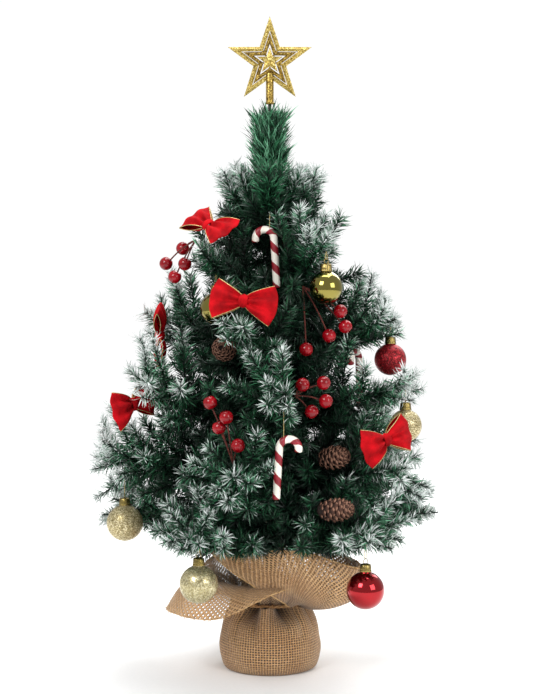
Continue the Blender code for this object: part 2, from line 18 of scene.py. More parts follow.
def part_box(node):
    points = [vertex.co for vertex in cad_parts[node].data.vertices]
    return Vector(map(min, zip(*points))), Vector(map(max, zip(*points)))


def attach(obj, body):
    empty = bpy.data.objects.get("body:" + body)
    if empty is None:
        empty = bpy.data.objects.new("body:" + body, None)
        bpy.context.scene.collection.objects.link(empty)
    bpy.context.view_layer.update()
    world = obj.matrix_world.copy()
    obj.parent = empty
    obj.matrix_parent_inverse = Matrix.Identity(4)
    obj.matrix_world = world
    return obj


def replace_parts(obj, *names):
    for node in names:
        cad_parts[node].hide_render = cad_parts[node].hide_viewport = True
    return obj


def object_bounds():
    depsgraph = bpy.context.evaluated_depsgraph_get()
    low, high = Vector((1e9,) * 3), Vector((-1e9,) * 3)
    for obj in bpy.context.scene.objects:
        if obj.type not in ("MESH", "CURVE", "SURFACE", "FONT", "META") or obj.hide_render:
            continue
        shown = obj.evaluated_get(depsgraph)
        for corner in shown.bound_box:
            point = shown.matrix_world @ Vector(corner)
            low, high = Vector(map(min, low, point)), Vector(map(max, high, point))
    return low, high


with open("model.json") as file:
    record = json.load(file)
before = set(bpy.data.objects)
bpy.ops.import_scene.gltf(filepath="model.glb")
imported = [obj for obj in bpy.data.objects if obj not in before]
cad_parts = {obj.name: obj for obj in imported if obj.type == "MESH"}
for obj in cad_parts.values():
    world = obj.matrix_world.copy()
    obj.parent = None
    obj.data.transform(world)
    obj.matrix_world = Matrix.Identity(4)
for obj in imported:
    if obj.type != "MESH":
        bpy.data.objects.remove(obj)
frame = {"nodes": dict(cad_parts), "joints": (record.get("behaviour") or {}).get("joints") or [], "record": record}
cad_low, cad_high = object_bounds()
nodes = frame["nodes"]

# ---- The studio ----
# A round of matt white paper under the tree, softboxes at both sides of the camera, overhead and behind.
# The camera stands level with the middle of the tree, a little above it, and looks at its front.
CAMERA_PLACE = Vector((0.009, -1.696, 0.4216))
CAMERA_AIM = Vector((0.009, 0.0, 0.303))
camera_data = bpy.data.cameras.new("camera")
camera_data.sensor_fit = "VERTICAL"
camera_data.sensor_height = 24.0
camera_data.lens = 62.7
camera = bpy.data.objects.new("camera", camera_data)
camera.location = CAMERA_PLACE
camera.rotation_euler = (CAMERA_AIM - CAMERA_PLACE).to_track_quat("-Z", "Y").to_euler()
bpy.context.scene.collection.objects.link(camera)
bpy.context.scene.camera = camera
bpy.context.scene.view_settings.view_transform = "Standard"


def linear(hex_colour):
    """A colour written as sRGB hex, as the linear values that sockets take."""
    channels = (int(hex_colour[i : i + 2], 16) / 255 for i in (1, 3, 5))
    return (*(c / 12.92 if c <= 0.04045 else ((c + 0.055) / 1.055) ** 2.4 for c in channels), 1.0)


def plug(tree, value, socket):
    """Sets a socket to a value, or links it to an output or to a node's first output."""
    if isinstance(value, bpy.types.Node):
        value = value.outputs[0]
    if isinstance(value, bpy.types.NodeSocket):
        tree.links.new(value, socket)
    else:
        socket.default_value = value


def add(tree, kind, sockets=None, **settings):
    """A node with its settings. Sockets maps an input to what is plugged into it."""
    node = tree.nodes.new(kind)
    for name, value in settings.items():
        setattr(node, name, value)
    for key, value in (sockets or {}).items():
        plug(tree, value, node.inputs[key])
    return node


def maths(tree, operation, *values, clamp=False):
    """A Math node on two or three values."""
    return add(tree, "ShaderNodeMath", dict(enumerate(values)), operation=operation, use_clamp=clamp)


def mapped(tree, value, low, high, start=0.0, end=1.0):
    """The value moved from the range start to end into the range low to high."""
    return add(tree, "ShaderNodeMapRange", {0: value, 1: start, 2: end, 3: low, 4: high})


def mixed(tree, factor, first, second):
    """A blend of two colours."""
    return add(tree, "ShaderNodeMix", {0: factor, 6: first, 7: second}, data_type="RGBA").outputs[2]


def grained(tree, scale, detail=2.0, place=None):
    """A noise value over the object's own coordinates, or over the place given."""
    place = place or add(tree, "ShaderNodeTexCoord").outputs["Object"]
    return add(tree, "ShaderNodeTexNoise", {"Vector": place, "Scale": scale, "Detail": detail})


def ramp(tree, factor, *stops):
    """A colour ramp from (position, hex colour) stops."""
    node = add(tree, "ShaderNodeValToRGB", {0: factor})
    while len(node.color_ramp.elements) < len(stops):
        node.color_ramp.elements.new(0.5)
    for element, (position, colour) in zip(node.color_ramp.elements, stops):
        element.position = position
        element.color = linear(colour)
    return node


def new_material(name, **constants):
    """An empty material with a Principled shader, whose constant sockets are given by their names."""
    material = bpy.data.materials.new(name)
    material.use_nodes = True
    shader = material.node_tree.nodes["Principled BSDF"]
    for key, value in constants.items():
        shader.inputs[key.replace("_", " ")].default_value = value
    return material, material.node_tree


def dress(tree, colour, height=None, strength=0.0, distance=0.0, roughness=None, alpha=None):
    """Plugs a colour into a material's shader, and what is given of a relief, a roughness and holes."""
    shader = tree.nodes["Principled BSDF"]
    plug(tree, colour, shader.inputs["Base Color"])
    if height:
        relief = {"Strength": strength, "Distance": distance, "Height": height}
        plug(tree, add(tree, "ShaderNodeBump", relief), shader.inputs["Normal"])
    if roughness:
        plug(tree, roughness, shader.inputs["Roughness"])
    if alpha:
        plug(tree, alpha, shader.inputs["Alpha"])


def place_mesh(name, mesh, material):
    """A mesh as an object at the origin of the scene, with its material."""
    mesh.name = name
    mesh.materials.clear()
    mesh.materials.append(material)
    obj = bpy.data.objects.new(name, mesh)
    bpy.context.scene.collection.objects.link(obj)
    return obj


# Matt white background paper: even, with only a trace of tooth.
paper, tree = new_material("matt_background_paper", Roughness=0.95)
tooth = add(tree, "ShaderNodeTexNoise", {"Scale": 900.0})
dress(tree, ramp(tree, tooth, (0.0, "#f4f4f4"), (1.0, "#fbfbfb")))

SHEET_RADIUS = 1.5
bm = bmesh.new()
bmesh.ops.create_circle(bm, cap_ends=True, segments=96, radius=SHEET_RADIUS)
floor_mesh = bpy.data.meshes.new("paper_floor")
bm.to_mesh(floor_mesh)
bm.free()
place_mesh("paper_floor", floor_mesh, paper)

# The room is white paper too: it looks white, and lights the tree more softly than the softboxes do.
ROOM_SEEN = 1.02
ROOM_LIGHT = 0.56
world = bpy.data.worlds.new("white_room")
world.use_nodes = True
room = world.node_tree.nodes["Background"]
ray = add(world.node_tree, "ShaderNodeLightPath").outputs["Is Camera Ray"]
plug(world.node_tree, linear("#ffffff"), room.inputs["Color"])
plug(world.node_tree, mapped(world.node_tree, ray, ROOM_LIGHT, ROOM_SEEN), room.inputs["Strength"])
bpy.context.scene.world = world
LIGHT_AIM = Vector((0.0, 0.0, 0.28))
for name, place, size, power in (
    ("key_softbox", (-1.1, -1.5, 1.5), 0.9, 27.0),
    ("fill_softbox", (1.3, -1.3, 0.9), 0.9, 13.0),
    ("top_softbox", (0.1, 0.3, 1.9), 1.1, 27.0),
    ("back_softbox", (0.7, 1.4, 1.5), 1.2, 24.0),
):
    light_data = bpy.data.lights.new(name, "AREA")
    light_data.size = size
    light_data.energy = power
    light = bpy.data.objects.new(name, light_data)
    light.location = place
    light.rotation_euler = (LIGHT_AIM - Vector(place)).to_track_quat("-Z", "Y").to_euler()
    bpy.context.scene.collection.objects.link(light)

# ---- The weight and its socket ----
# The weight is poured cement with a plastic sleeve cast into it. Both are hidden in the burlap.
# Cast cement is matt grey with air holes; the sleeve is moulded black plastic with a fine grain.
cement, tree = new_material("cast_cement", Roughness=0.92)
pits = grained(tree, 220.0, 6.0)
dress(tree, ramp(tree, pits, (0.3, "#6d6a65"), (0.7, "#9b978f")), pits, 0.5, 0.0008)
nodes["base_weight"].material_slots[0].material = cement

sleeve_plastic, tree = new_material("moulded_black_plastic")
grain = grained(tree, 1500.0)
dress(tree, ramp(tree, grain, (0.0, "#141414"), (1.0, "#232323")), roughness=mapped(tree, grain, 0.38, 0.55))
nodes["pole_socket"].material_slots[0].material = sleeve_plastic

# ---- The burlap wrap ----
# One square of jute burlap. The weight sits in its middle, twine gathers it above the weight, and
# what is left over spreads as a collar whose ends cross at the front, one flap drooping to the left.
CLOTH = 0.0011
MAP_SIDE = 0.60  # metres of cloth over one unit of its UV map
THREAD_PITCH = 0.0026  # a quarter coarser than the cloth, whose weave would be too fine to show
WAVE_BANDS = 20 / (2 * math.pi)  # of a wave texture to a unit at scale 1
weight_low, weight_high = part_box("base_weight")
tie_low, tie_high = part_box("neck_tie")
neck_height = (tie_low.z + tie_high.z) / 2
neck_radius = 0.0335
bag_radius = (weight_high.x - weight_low.x) / 2 + 0.0042

# Jute: coarse plain weave of uneven tan threads, matt, open between threads. Painted shade darkens
# the gaps between threads, and the cloth where it tucks in.
jute, tree = new_material("woven_jute_burlap", Roughness=0.93, Sheen_Weight=0.25, Sheen_Roughness=0.5)
cloth_map = add(tree, "ShaderNodeUVMap", uv_map="OFBake")
metres = add(tree, "ShaderNodeVectorMath", {0: cloth_map, 3: MAP_SIDE}, operation="SCALE")
wander = grained(tree, 160.0, place=metres).outputs["Color"]
drift = add(tree, "ShaderNodeVectorMath", {0: wander, 3: 0.0011}, operation="SCALE")
laid = add(tree, "ShaderNodeVectorMath", {0: metres, 1: drift}, operation="ADD")
wave = {"Vector": laid, "Scale": 1 / WAVE_BANDS / THREAD_PITCH}
warp, weft = (add(tree, "ShaderNodeTexWave", wave, bands_direction=d).outputs["Fac"] for d in "XY")
threads = maths(tree, "MAXIMUM", warp, weft)
crossings = maths(tree, "MULTIPLY", warp, weft)
slub = grained(tree, 420.0, 3.0, metres)
patch = grained(tree, 26.0, 2.0, metres)
tone = ramp(tree, slub, (0.25, "#986e46"), (0.45, "#c29565"), (0.62, "#dcb182"), (0.8, "#f0cea2"))
aged = mixed(tree, 0.35, tone, ramp(tree, patch, (0.35, "#b88a58"), (0.65, "#e2bc8c")))
# The spread collar's weave has opened, so it lets light through its holes, and the gaps between
# its threads are painted paler, as painted light coming through.
sheer = add(tree, "ShaderNodeAttribute", attribute_name="sheer").outputs["Fac"]
# Painted shade: the gaps between threads take a dark brown; on the collar painted light lifts it.
gap_shade = mapped(tree, threads, maths(tree, "MULTIPLY", sheer, 0.45), 1.0, 0.50, 0.88)
# Painted shade: the cloth's colour darkens where it tucks into folds and hollows.
painted_tuck_shade = add(tree, "ShaderNodeAttribute", attribute_name="painted_tuck_shade").outputs["Fac"]
dark = maths(tree, "MULTIPLY", gap_shade, mapped(tree, painted_tuck_shade, 1.0, 0.06))
opened = maths(tree, "MULTIPLY_ADD", sheer, -0.20, threads)
dress(
    tree,
    mixed(tree, dark, linear("#321a0d"), aged),
    maths(tree, "ADD", threads, crossings),
    0.8,
    0.0006,
    alpha=mapped(tree, opened, 0.0, 1.0, 0.16, 0.34),
)


def smooth(low, high, value):
    """0 up to low, 1 from high, and an even slope with round ends between."""
    t = min(1.0, max(0.0, (value - low) / (high - low)))
    return t * t * (3 - 2 * t)


def hump(middle, half, value):
    """A round hump of height 1 at middle that dies away over half a few times."""
    return math.exp(-(((value - middle) / half) ** 2))


def spline(rows, share):
    """A row of an open Catmull-Rom line through rows of numbers, at a share of its count of spans."""
    spans = len(rows) - 1
    i = min(spans - 1, int(share * spans))
    s = share * spans - i
    near = [rows[max(0, min(spans, k))] for k in (i - 1, i, i + 1, i + 2)]
    return [
        b + 0.5 * s * (c - a + s * (2 * a - 5 * b + 4 * c - d + s * (3 * (b - c) + d - a)))
        for a, b, c, d in zip(*near)
    ]


def at_heading(heading, radius, height):
    """The point at a heading, a radius and a height."""
    a = math.radians(heading)
    return Vector((radius * math.sin(a), -radius * math.cos(a), height))


def gathers(heading):
    """How far the gathered cloth stands out at a heading: narrow valleys between round folds."""
    a = math.radians(heading)
    h = heading + 5 * noise.noise(Vector((math.cos(a) * 2, math.sin(a) * 2, 1.7)))
    fold = abs(math.sin(math.radians(h * 8.5)))
    return 1.9 * fold**0.6 - 1.2 + 0.22 * math.sin(math.radians(h * 23 + 40))


# Outer side of the bag: (radius, height) from the middle of its floor up to the neck.
BAG_LINE = (
    (0.0, 0.0),
    (0.5 * bag_radius, 0.0),
    (bag_radius - 0.006, 0.0),
    (bag_radius - 0.0005, 0.006),
    (bag_radius + 0.0016, 0.020),
    (bag_radius, 0.034),
    (bag_radius - 0.0035, 0.046),
    (bag_radius - 0.0085, 0.055),
    (neck_radius, neck_height - 0.001),
)
FOLD_DEPTH = 0.0024
COLUMN_DEPTH = 0.0070  # of the fold that stands out at the front
PINCH_DEPTH = 0.0200  # of the hollows at both sides of it
SAG = 0.0011
FOOT_LIFT = 0.00048


def bag_point(heading, share):
    """A point of the bag, and its painted tuck shade."""
    radius, height = spline(BAG_LINE, share)
    up = height / neck_height
    gathered = smooth(0.34, 1.0, up)
    column = hump(-6, 12, heading) * smooth(0.35, 0.85, up)
    pinch = (hump(-31, 12, heading) + hump(22, 15, heading)) * smooth(0.66, 0.93, up)
    folds = gathers(heading)
    sag = SAG * noise.noise(Vector((heading / 21, height * 60, 3.1))) * smooth(0.0, 0.004, height)
    reach = radius + FOLD_DEPTH * folds * gathered + COLUMN_DEPTH * column - PINCH_DEPTH * pinch
    reach += sag * (radius > 0.02)
    # Painted shade: deepest in the pinch hollows and the valleys between folds.
    tuck_shade_amount = min(1.0, 0.75 * pinch + 0.28 * gathered * max(0.0, -folds))
    lift = FOOT_LIFT * (1 - math.cos(math.radians(heading * 3))) * smooth(0.2, 0.6, up)
    return at_heading(heading, reach, max(0.0, height + lift)), tuck_shade_amount


# The collar, from its tucked-in end round by the left, the back and the right to its free edge at the front.
# Heading, then radius and height of the rim, then of the middle of the cloth.
COLLAR_LINE = (
    (18, 0.058, 0.083, 0.046, 0.080),
    (-14, 0.075, 0.073, 0.055, 0.086),
    (-40, 0.090, 0.058, 0.064, 0.087),
    (-66, 0.098, 0.057, 0.068, 0.087),
    (-92, 0.095, 0.062, 0.066, 0.088),
    (-125, 0.083, 0.082, 0.060, 0.086),
    (-165, 0.072, 0.108, 0.057, 0.080),
    (-205, 0.072, 0.113, 0.058, 0.076),
    (-245, 0.079, 0.104, 0.068, 0.070),
    (-272, 0.086, 0.096, 0.082, 0.072),
    (-298, 0.088, 0.104, 0.086, 0.071),
    (-325, 0.076, 0.117, 0.074, 0.072),
    (-352, 0.064, 0.120, 0.058, 0.076),
    (-384, 0.064, 0.120, 0.054, 0.080),
    (-415, 0.069, 0.118, 0.056, 0.084),
)
FREE_EDGE_TURN = 84.0  # how much further round the free edge is at the neck than at the rim


def collar_point(t, share):
    """A point of the collar, t of the way round and a share of the way out, and its painted tuck shade."""
    heading, rim_radius, rim_height, mid_radius, mid_height = spline(COLLAR_LINE, t)
    heading += FREE_EDGE_TURN * smooth(0.72, 1.0, t) * (1 - share) ** 0.8
    layer = 0.0026 * smooth(0.62, 0.9, t) - 0.0020 * (1 - smooth(0.0, 0.25, t))
    foot = Vector((neck_radius - 0.0008 + layer, neck_height - 0.001))
    rim = Vector((rim_radius + layer, rim_height))
    control = 2 * Vector((mid_radius + layer, mid_height)) - (foot + rim) / 2
    radius, height = foot * (1 - share) ** 2 + control * 2 * share * (1 - share) + rim * share**2
    fade = (1 - share) ** 1.5
    folds = gathers(heading)
    wave = 0.0032 * math.sin(math.radians(heading * 5 + 30))
    wave += 0.0045 * noise.noise(Vector((heading / 34, share * 1.5, 8.2)))
    wave *= share**1.5
    reach = radius + folds * (0.0017 * fade + 0.0007) + 0.35 * wave
    # Painted shade: deepest near the neck and in the valleys between folds.
    tuck_shade_amount = min(1.0, 0.55 * fade**2 + 0.5 * fade * max(0.0, -folds))
    return at_heading(heading, reach, height + wave), tuck_shade_amount


def cloth_grid(bm, point, columns, rows, closed, map_from, map_size, turn):
    """A grid of cloth from point(column share, row share). Its UV map is in metres of cloth over MAP_SIDE."""
    uv_layer = bm.loops.layers.uv["OFBake"]
    tuck_shade_layer = bm.verts.layers.float["painted_tuck_shade"]
    sheer_layer = bm.verts.layers.float["sheer"]
    grid = []
    for i in range(columns if closed else columns + 1):
        line = []
        for k in range(rows + 1):
            place, tuck_shade_amount = point(i / columns, k / rows)
            vertex = bm.verts.new(place)
            vertex[tuck_shade_layer] = tuck_shade_amount
            vertex[sheer_layer] = 0.0 if closed else smooth(0.15, 0.75, k / rows)
            line.append(vertex)
        grid.append(line)
    spin = Matrix.Rotation(math.radians(turn), 2)
    for i in range(columns):
        for k in range(rows):
            j = (i + 1) % len(grid)
            face = bm.faces.new((grid[i][k], grid[j][k], grid[j][k + 1], grid[i][k + 1]))
            face.smooth = True
            for loop, (u, v) in zip(face.loops, ((i, k), (i + 1, k), (i + 1, k + 1), (i, k + 1))):
                flat = spin @ Vector((u / columns * map_size[0], v / rows * map_size[1]))
                loop[uv_layer].uv = (Vector(map_from) + flat) / MAP_SIDE
    return grid


def piece_of(bm, name, material, outwards=True):
    """The object of a finished bmesh, with its faces outwards."""
    if outwards:
        bmesh.ops.recalc_face_normals(bm, faces=bm.faces)
    mesh = bpy.data.meshes.new(name)
    bm.to_mesh(mesh)
    bm.free()
    return place_mesh(name, mesh, material)


def thickened(obj, thickness, offset):
    """Gives a sheet its thickness."""
    wall = obj.modifiers.new("thickness", "SOLIDIFY")
    wall.thickness = thickness
    wall.offset = offset


bm = bmesh.new()
cloth_uv = bm.loops.layers.uv.new("OFBake")
bm.verts.layers.float.new("painted_tuck_shade")
bm.verts.layers.float.new("sheer")
bag_grid = cloth_grid(
    bm, lambda u, v: bag_point(360 * u - 180, 0.02 + 0.98 * v), 216, 46, True, (0.01, 0.01), (0.29, 0.125), 0
)
bottom = bm.faces.new([line[0] for line in bag_grid])
for loop in bottom.loops:
    loop[cloth_uv].uv = (Vector((0.02, 0.16)) + loop.vert.co.xy) / MAP_SIDE
bmesh.ops.triangulate(bm, faces=[bottom])
collar_grid = cloth_grid(bm, collar_point, 280, 36, False, (0.12, 0.160), (0.46, 0.078), 40)
rim_line = [line[-1].co.copy() for line in collar_grid]
free_edge = [vertex.co.copy() for vertex in collar_grid[-1]]
burlap = piece_of(bm, "burlap_cloth", jute)
thickened(burlap, CLOTH, -1.0)
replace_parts(burlap, "burlap_wrap")
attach(burlap, "stand")

# Loose jute threads stand out of the cut edges.
fray_jute, tree = new_material("frayed_jute_thread", Roughness=0.95)
dress(tree, ramp(tree, grained(tree, 300.0), (0.3, "#a57a48"), (0.7, "#dcb985")))


def put_values(mesh, label, values):
    """A number for each point of a mesh."""
    mesh.attributes.new(label, "FLOAT", "POINT").data.foreach_set("value", values)


def stick_mesh(name, levels):
    """A three-sided strip along Z, closed at both ends. A level is (height, half width, thickness, bend)."""
    verts = []
    faces = [(2, 1, 0)]
    for height, half, thick, bend in levels[:-1]:
        verts += [(-half, bend, height), (half, bend, height), (0.0, bend + thick, height)]
    for level in range(len(levels) - 2):
        for side in range(3):
            a, b = 3 * level + side, 3 * level + (side + 1) % 3
            faces.append((a, b, b + 3, a + 3))
    tip_height, _, _, tip_bend = levels[-1]
    verts.append((0.0, tip_bend, tip_height))
    last = 3 * (len(levels) - 2)
    faces += [(last + side, last + (side + 1) % 3, last + 3) for side in range(3)]
    mesh = bpy.data.meshes.new(name)
    mesh.from_pydata(verts, [], faces)
    put_values(mesh, "along", [v[2] for v in verts])
    put_values(mesh, "side", [v[0] for v in verts])
    return mesh


def bristle_tree():
    """Geometry Nodes: bristles that lean out all round the wires of a skeleton, and the wires themselves.

    The skeleton's points carry "length" for the bristles there, "snow" for how frosted they are and
    "light" for how light painted shade leaves their greens.
    A bristle's UV map holds its shade and the place along it across, and its frost upwards.
    """
    tree = bpy.data.node_groups.new("bristles_on_wires", "GeometryNodeTree")
    inputs = {"Skeleton": "Geometry", "Bristle": "Object", "Seed": "Int", "Film": "Material"}
    inputs |= dict.fromkeys(("Spacing", "Width", "Lean", "Lean spread", "Wire radius"), "Float")
    for label, kind in inputs.items():
        tree.interface.new_socket(label, in_out="INPUT", socket_type=f"NodeSocket{kind}")
    tree.interface.new_socket("Geometry", in_out="OUTPUT", socket_type="NodeSocketGeometry")
    given = add(tree, "NodeGroupInput").outputs

    def chance(low, high, k):
        seed = add(tree, "FunctionNodeIntegerMath", {0: given["Seed"], 1: k}, operation="ADD")
        return add(tree, "FunctionNodeRandomValue", {2: low, 3: high, "Seed": seed}).outputs[1]

    def turned(rotation, axis, angle):
        turn = add(tree, "ShaderNodeCombineXYZ", {axis: angle})
        return add(tree, "FunctionNodeRotateRotation", {0: rotation, 1: turn}, rotation_space="LOCAL")

    def kept(name):
        return add(tree, "GeometryNodeInputNamedAttribute", {0: name}, data_type="FLOAT")

    def keep(geometry, name, value, kind="FLOAT", domain="POINT"):
        sockets = {"Geometry": geometry, "Name": name, "Value": value}
        return add(tree, "GeometryNodeStoreNamedAttribute", sockets, data_type=kind, domain=domain)

    wires = add(tree, "GeometryNodeMeshToCurve", {0: given["Skeleton"]})
    along_wires = {"Curve": wires, "Length": given["Spacing"]}
    points = add(tree, "GeometryNodeCurveToPoints", along_wires, mode="LENGTH")
    tangent = {"Vector": points.outputs["Tangent"]}
    aligned = add(tree, "FunctionNodeAlignRotationToVector", tangent, axis="Z")
    spun = turned(aligned, 2, chance(0.0, 2 * math.pi, 0))
    lean = maths(tree, "MULTIPLY_ADD", chance(-1.0, 1.0, 1), given["Lean spread"], given["Lean"])
    twisted = turned(turned(spun, 0, lean), 2, chance(0.0, 2 * math.pi, 5))
    long = maths(tree, "MULTIPLY", kept("length"), chance(0.62, 1.10, 2))
    size = add(tree, "ShaderNodeCombineXYZ", {0: given["Width"], 1: given["Width"], 2: long})
    # Painted shade: a point's "light" caps how light a green its needles may take.
    shade = maths(tree, "FLOOR", maths(tree, "MULTIPLY", chance(0.0, 3.99, 3), kept("light")))
    bristle = add(tree, "GeometryNodeObjectInfo", {0: given["Bristle"]}).outputs["Geometry"]
    planting = {"Points": keep(points, "shade", shade), "Instance": bristle}
    planted = add(tree, "GeometryNodeInstanceOnPoints", planting | {"Rotation": twisted, "Scale": size})
    frost = maths(tree, "ADD", kept("snow"), chance(-0.30, 0.22, 4), clamp=True)
    real = add(tree, "GeometryNodeRealizeInstances", {0: keep(planted, "frost", frost, domain="INSTANCE")})
    inner = maths(tree, "MULTIPLY_ADD", kept("along"), 0.92, 0.04)
    map_x = maths(tree, "DIVIDE", maths(tree, "ADD", kept("shade"), inner), 4.0)
    edge = maths(tree, "MULTIPLY_ADD", kept("side"), 0.006, 0.01)
    map_y = maths(tree, "MULTIPLY_ADD", kept("frost"), 0.98, edge)
    map_place = add(tree, "ShaderNodeCombineXYZ", {0: map_x, 1: map_y})
    needles = keep(real, "OFBake", map_place, "FLOAT2", "CORNER")
    run = keep(wires, "run", add(tree, "GeometryNodeSplineParameter"))
    circle = add(tree, "GeometryNodeCurvePrimitiveCircle", {"Resolution": 5, "Radius": given["Wire radius"]})
    profile = keep(circle, "round", add(tree, "GeometryNodeSplineParameter"))
    tube = add(tree, "GeometryNodeCurveToMesh", {"Curve": run, "Profile Curve": profile, "Fill Caps": True})
    wire_x, wire_y = (maths(tree, "MULTIPLY_ADD", kept(name), 0.02, 0.001) for name in ("run", "round"))
    wire_place = add(tree, "ShaderNodeCombineXYZ", {0: wire_x, 1: wire_y})
    both = add(tree, "GeometryNodeJoinGeometry", {0: needles})
    plug(tree, keep(tube, "OFBake", wire_place, "FLOAT2", "CORNER"), both.inputs[0])
    whole = add(tree, "GeometryNodeRealizeInstances", {0: both})
    finished = add(tree, "GeometryNodeSetMaterial", {"Geometry": whole, "Material": given["Film"]})
    add(tree, "NodeGroupOutput", {0: finished})
    return tree


def grown(name, lines, group, **inputs):
    """The plain mesh that a Geometry Nodes group makes of wires.

    A wire is a list of (point, bristle length, snow, light). The wires' object is removed afterwards.
    """
    rows = [row for line in lines for row in line]
    edges = []
    for line in lines:
        start = edges[-1][1] + 1 if edges else 0
        edges += [(start + i, start + i + 1) for i in range(len(line) - 1)]
    skeleton = bpy.data.meshes.new(name)
    skeleton.from_pydata([tuple(row[0]) for row in rows], edges, [])
    for k, label in enumerate(("length", "snow", "light"), 1):
        put_values(skeleton, label, [row[k] for row in rows])
    obj = bpy.data.objects.new(name, skeleton)
    bpy.context.scene.collection.objects.link(obj)
    modifier = obj.modifiers.new("grow", "NODES")
    modifier.node_group = group
    sockets = {item.name: item.identifier for item in group.interface.items_tree if item.in_out == "INPUT"}
    for label, value in inputs.items():
        modifier[sockets[label.replace("_", " ")]] = value
    graph = bpy.context.evaluated_depsgraph_get()
    graph.update()
    mesh = bpy.data.meshes.new_from_object(obj.evaluated_get(graph))
    bpy.data.objects.remove(obj)
    return mesh


bristles = bristle_tree()
fray_levels = ((0.0, 0.5, 0.5, 0.0), (0.6, 0.4, 0.4, 0.12), (1.0, 0.0, 0.0, 0.3))
fray_stick = place_mesh("fray_stick", stick_mesh("fray_stick", fray_levels), fray_jute)
fray_mesh = grown(
    "fray_line",
    [[(p, 0.0045, 0.0, 1.0) for p in rim_line[::4]], [(p, 0.0028, 0.0, 1.0) for p in free_edge[::3]]],
    bristles,
    Bristle=fray_stick,
    Spacing=0.0011,
    Width=0.00055,
    Lean=1.2,
    Lean_spread=0.5,
    Wire_radius=0.0006,
    Seed=5,
    Film=fray_jute,
)
bpy.data.objects.remove(fray_stick)
fray = place_mesh("burlap_fray", fray_mesh, fray_jute)
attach(fray, "stand")

# ---- The tie ----
# Two strands of jute twine laid round each other and drawn tight round the burlap's neck.
TWINE_STRAND = 0.0009
STRAND_APART = TWINE_STRAND * 0.9  # from the twine's middle, since the strands press into each other
TWINE_TURNS = 44
TWINE_STEPS = TWINE_TURNS * 6
tie_radius = (tie_high.x - tie_low.x) / 2 - 0.0015
twine_fibre, tree = new_material("laid_jute_twine", Roughness=0.9)
dress(tree, ramp(tree, grained(tree, 700.0, 3.0), (0.3, "#6f4d2b"), (0.7, "#a88053")))


def tube_into(bm, points, radii, sides, closed=False):
    """Adds a round tube along points to bm, with faces outwards. A UV map of bm's becomes (round, along)."""
    count = len(points)
    points = [Vector(p) for p in points]
    side = None
    rings = []
    for i, point in enumerate(points):
        before = points[i - 1] if i or closed else point
        after = points[(i + 1) % count] if i < count - 1 or closed else point
        along = (after - before).normalized()
        side = side or along.orthogonal().normalized()
        side = (side - side.dot(along) * along).normalized()
        up = along.cross(side)
        radius = radii[i] if hasattr(radii, "__len__") else radii
        turns = (2 * math.pi * k / sides for k in range(sides))
        rings.append([bm.verts.new(point + radius * (math.cos(a) * side + math.sin(a) * up)) for a in turns])
    last = count if closed else count - 1
    faces = {}
    for i in range(last):
        for k in range(sides):
            n = (k + 1) % sides
            low, high = rings[i], rings[(i + 1) % count]
            face = bm.faces.new((low[k], low[n], high[n], high[k]))
            faces[face] = ((k, i), (k + 1, i), (k + 1, i + 1), (k, i + 1))
    if not closed:
        for ring, row in ((rings[0][::-1], 0), (rings[-1], last)):
            faces[bm.faces.new(ring)] = [(k, row) for k in range(sides)]
    uv_layer = bm.loops.layers.uv.active
    for face, places in faces.items():
        face.smooth = True
        if uv_layer:
            for loop, (u, v) in zip(face.loops, places):
                loop[uv_layer].uv = (u / sides, v / last)


bm = bmesh.new()
for strand in (0, 1):
    line = []
    for i in range(TWINE_STEPS):
        twist = math.pi * (TWINE_TURNS * i / TWINE_STEPS + strand)
        reach = tie_radius + STRAND_APART * math.cos(twist)
        height = neck_height + STRAND_APART * math.sin(twist)
        line.append(at_heading(360 * i / TWINE_STEPS, reach, height))
    tube_into(bm, line, TWINE_STRAND, 7, closed=True)
twine = piece_of(bm, "twine_tie", twine_fibre)
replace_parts(twine, "neck_tie")
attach(twine, "stand")

# ---- The trunk ----
# A steel core wound from bottom to top with dark green PVC tape, each turn lapping the last.
# The tape gives a slanted step every turn and a soft satin face. Painted shade darkens its colour in
# each step; just past the step it is painted lightest, and it darkens again across the turn.
TAPE_PITCH = 0.009
tape, tree = new_material("wound_pvc_tape", Roughness=0.55)
place = add(tree, "ShaderNodeTexCoord").outputs["Object"]
x, y, z = add(tree, "ShaderNodeSeparateXYZ", {0: place}).outputs
turns = maths(tree, "DIVIDE", maths(tree, "ARCTAN2", y, x), 2 * math.pi)
lap = maths(tree, "FRACT", maths(tree, "MULTIPLY_ADD", z, 1 / TAPE_PITCH, turns))
# Painted shade in the step where one turn laps over the next, and painted light just past it.
dress(tree, ramp(tree, lap, (0.0, "#0d1a10"), (0.08, "#2a3f2b"), (1.0, "#1b2d1e")), lap, 0.7, 0.0006)
nodes["trunk_pole"].material_slots[0].material = tape

# ---- The branches ----
# Each branch is twisted wire that grips bundles of slit PVC film, with side twigs wound on along it.
# The film is bright to dark green at random; painted shade darkens it towards the trunk, at the
# needles' roots and on branches that face the front. Flocking powder whitens the outer twigs.
# It is bent to shape by hand.
NEEDLE_LENGTH = 0.0200
NEEDLE_WIDTH = 0.00100
NEEDLE_SPACING = 0.00024
TWIG_WIRE = 0.0006
TIP_LIFT = 0.006  # how far a branch curves up by its tip
STATION_PITCH = 0.0185  # between the rounds of twigs
TWIGS_ROUND = 4
UNFLOCKED_LIMB = "6_2"  # at the front of the top tier

# Slit PVC film: satin, four greens from dark to light, greyish white and dull where it is flocked.
# Each green darkens towards the needle's root as painted shade, and painted shade gives the darker
# greens to the inner and front-facing needles.
film, tree = new_material("flocked_pvc_film", Specular_IOR_Level=0.45)
film_map = add(tree, "ShaderNodeUVMap", uv_map="OFBake")
shade, rime, _ = add(tree, "ShaderNodeSeparateXYZ", {0: film_map}).outputs
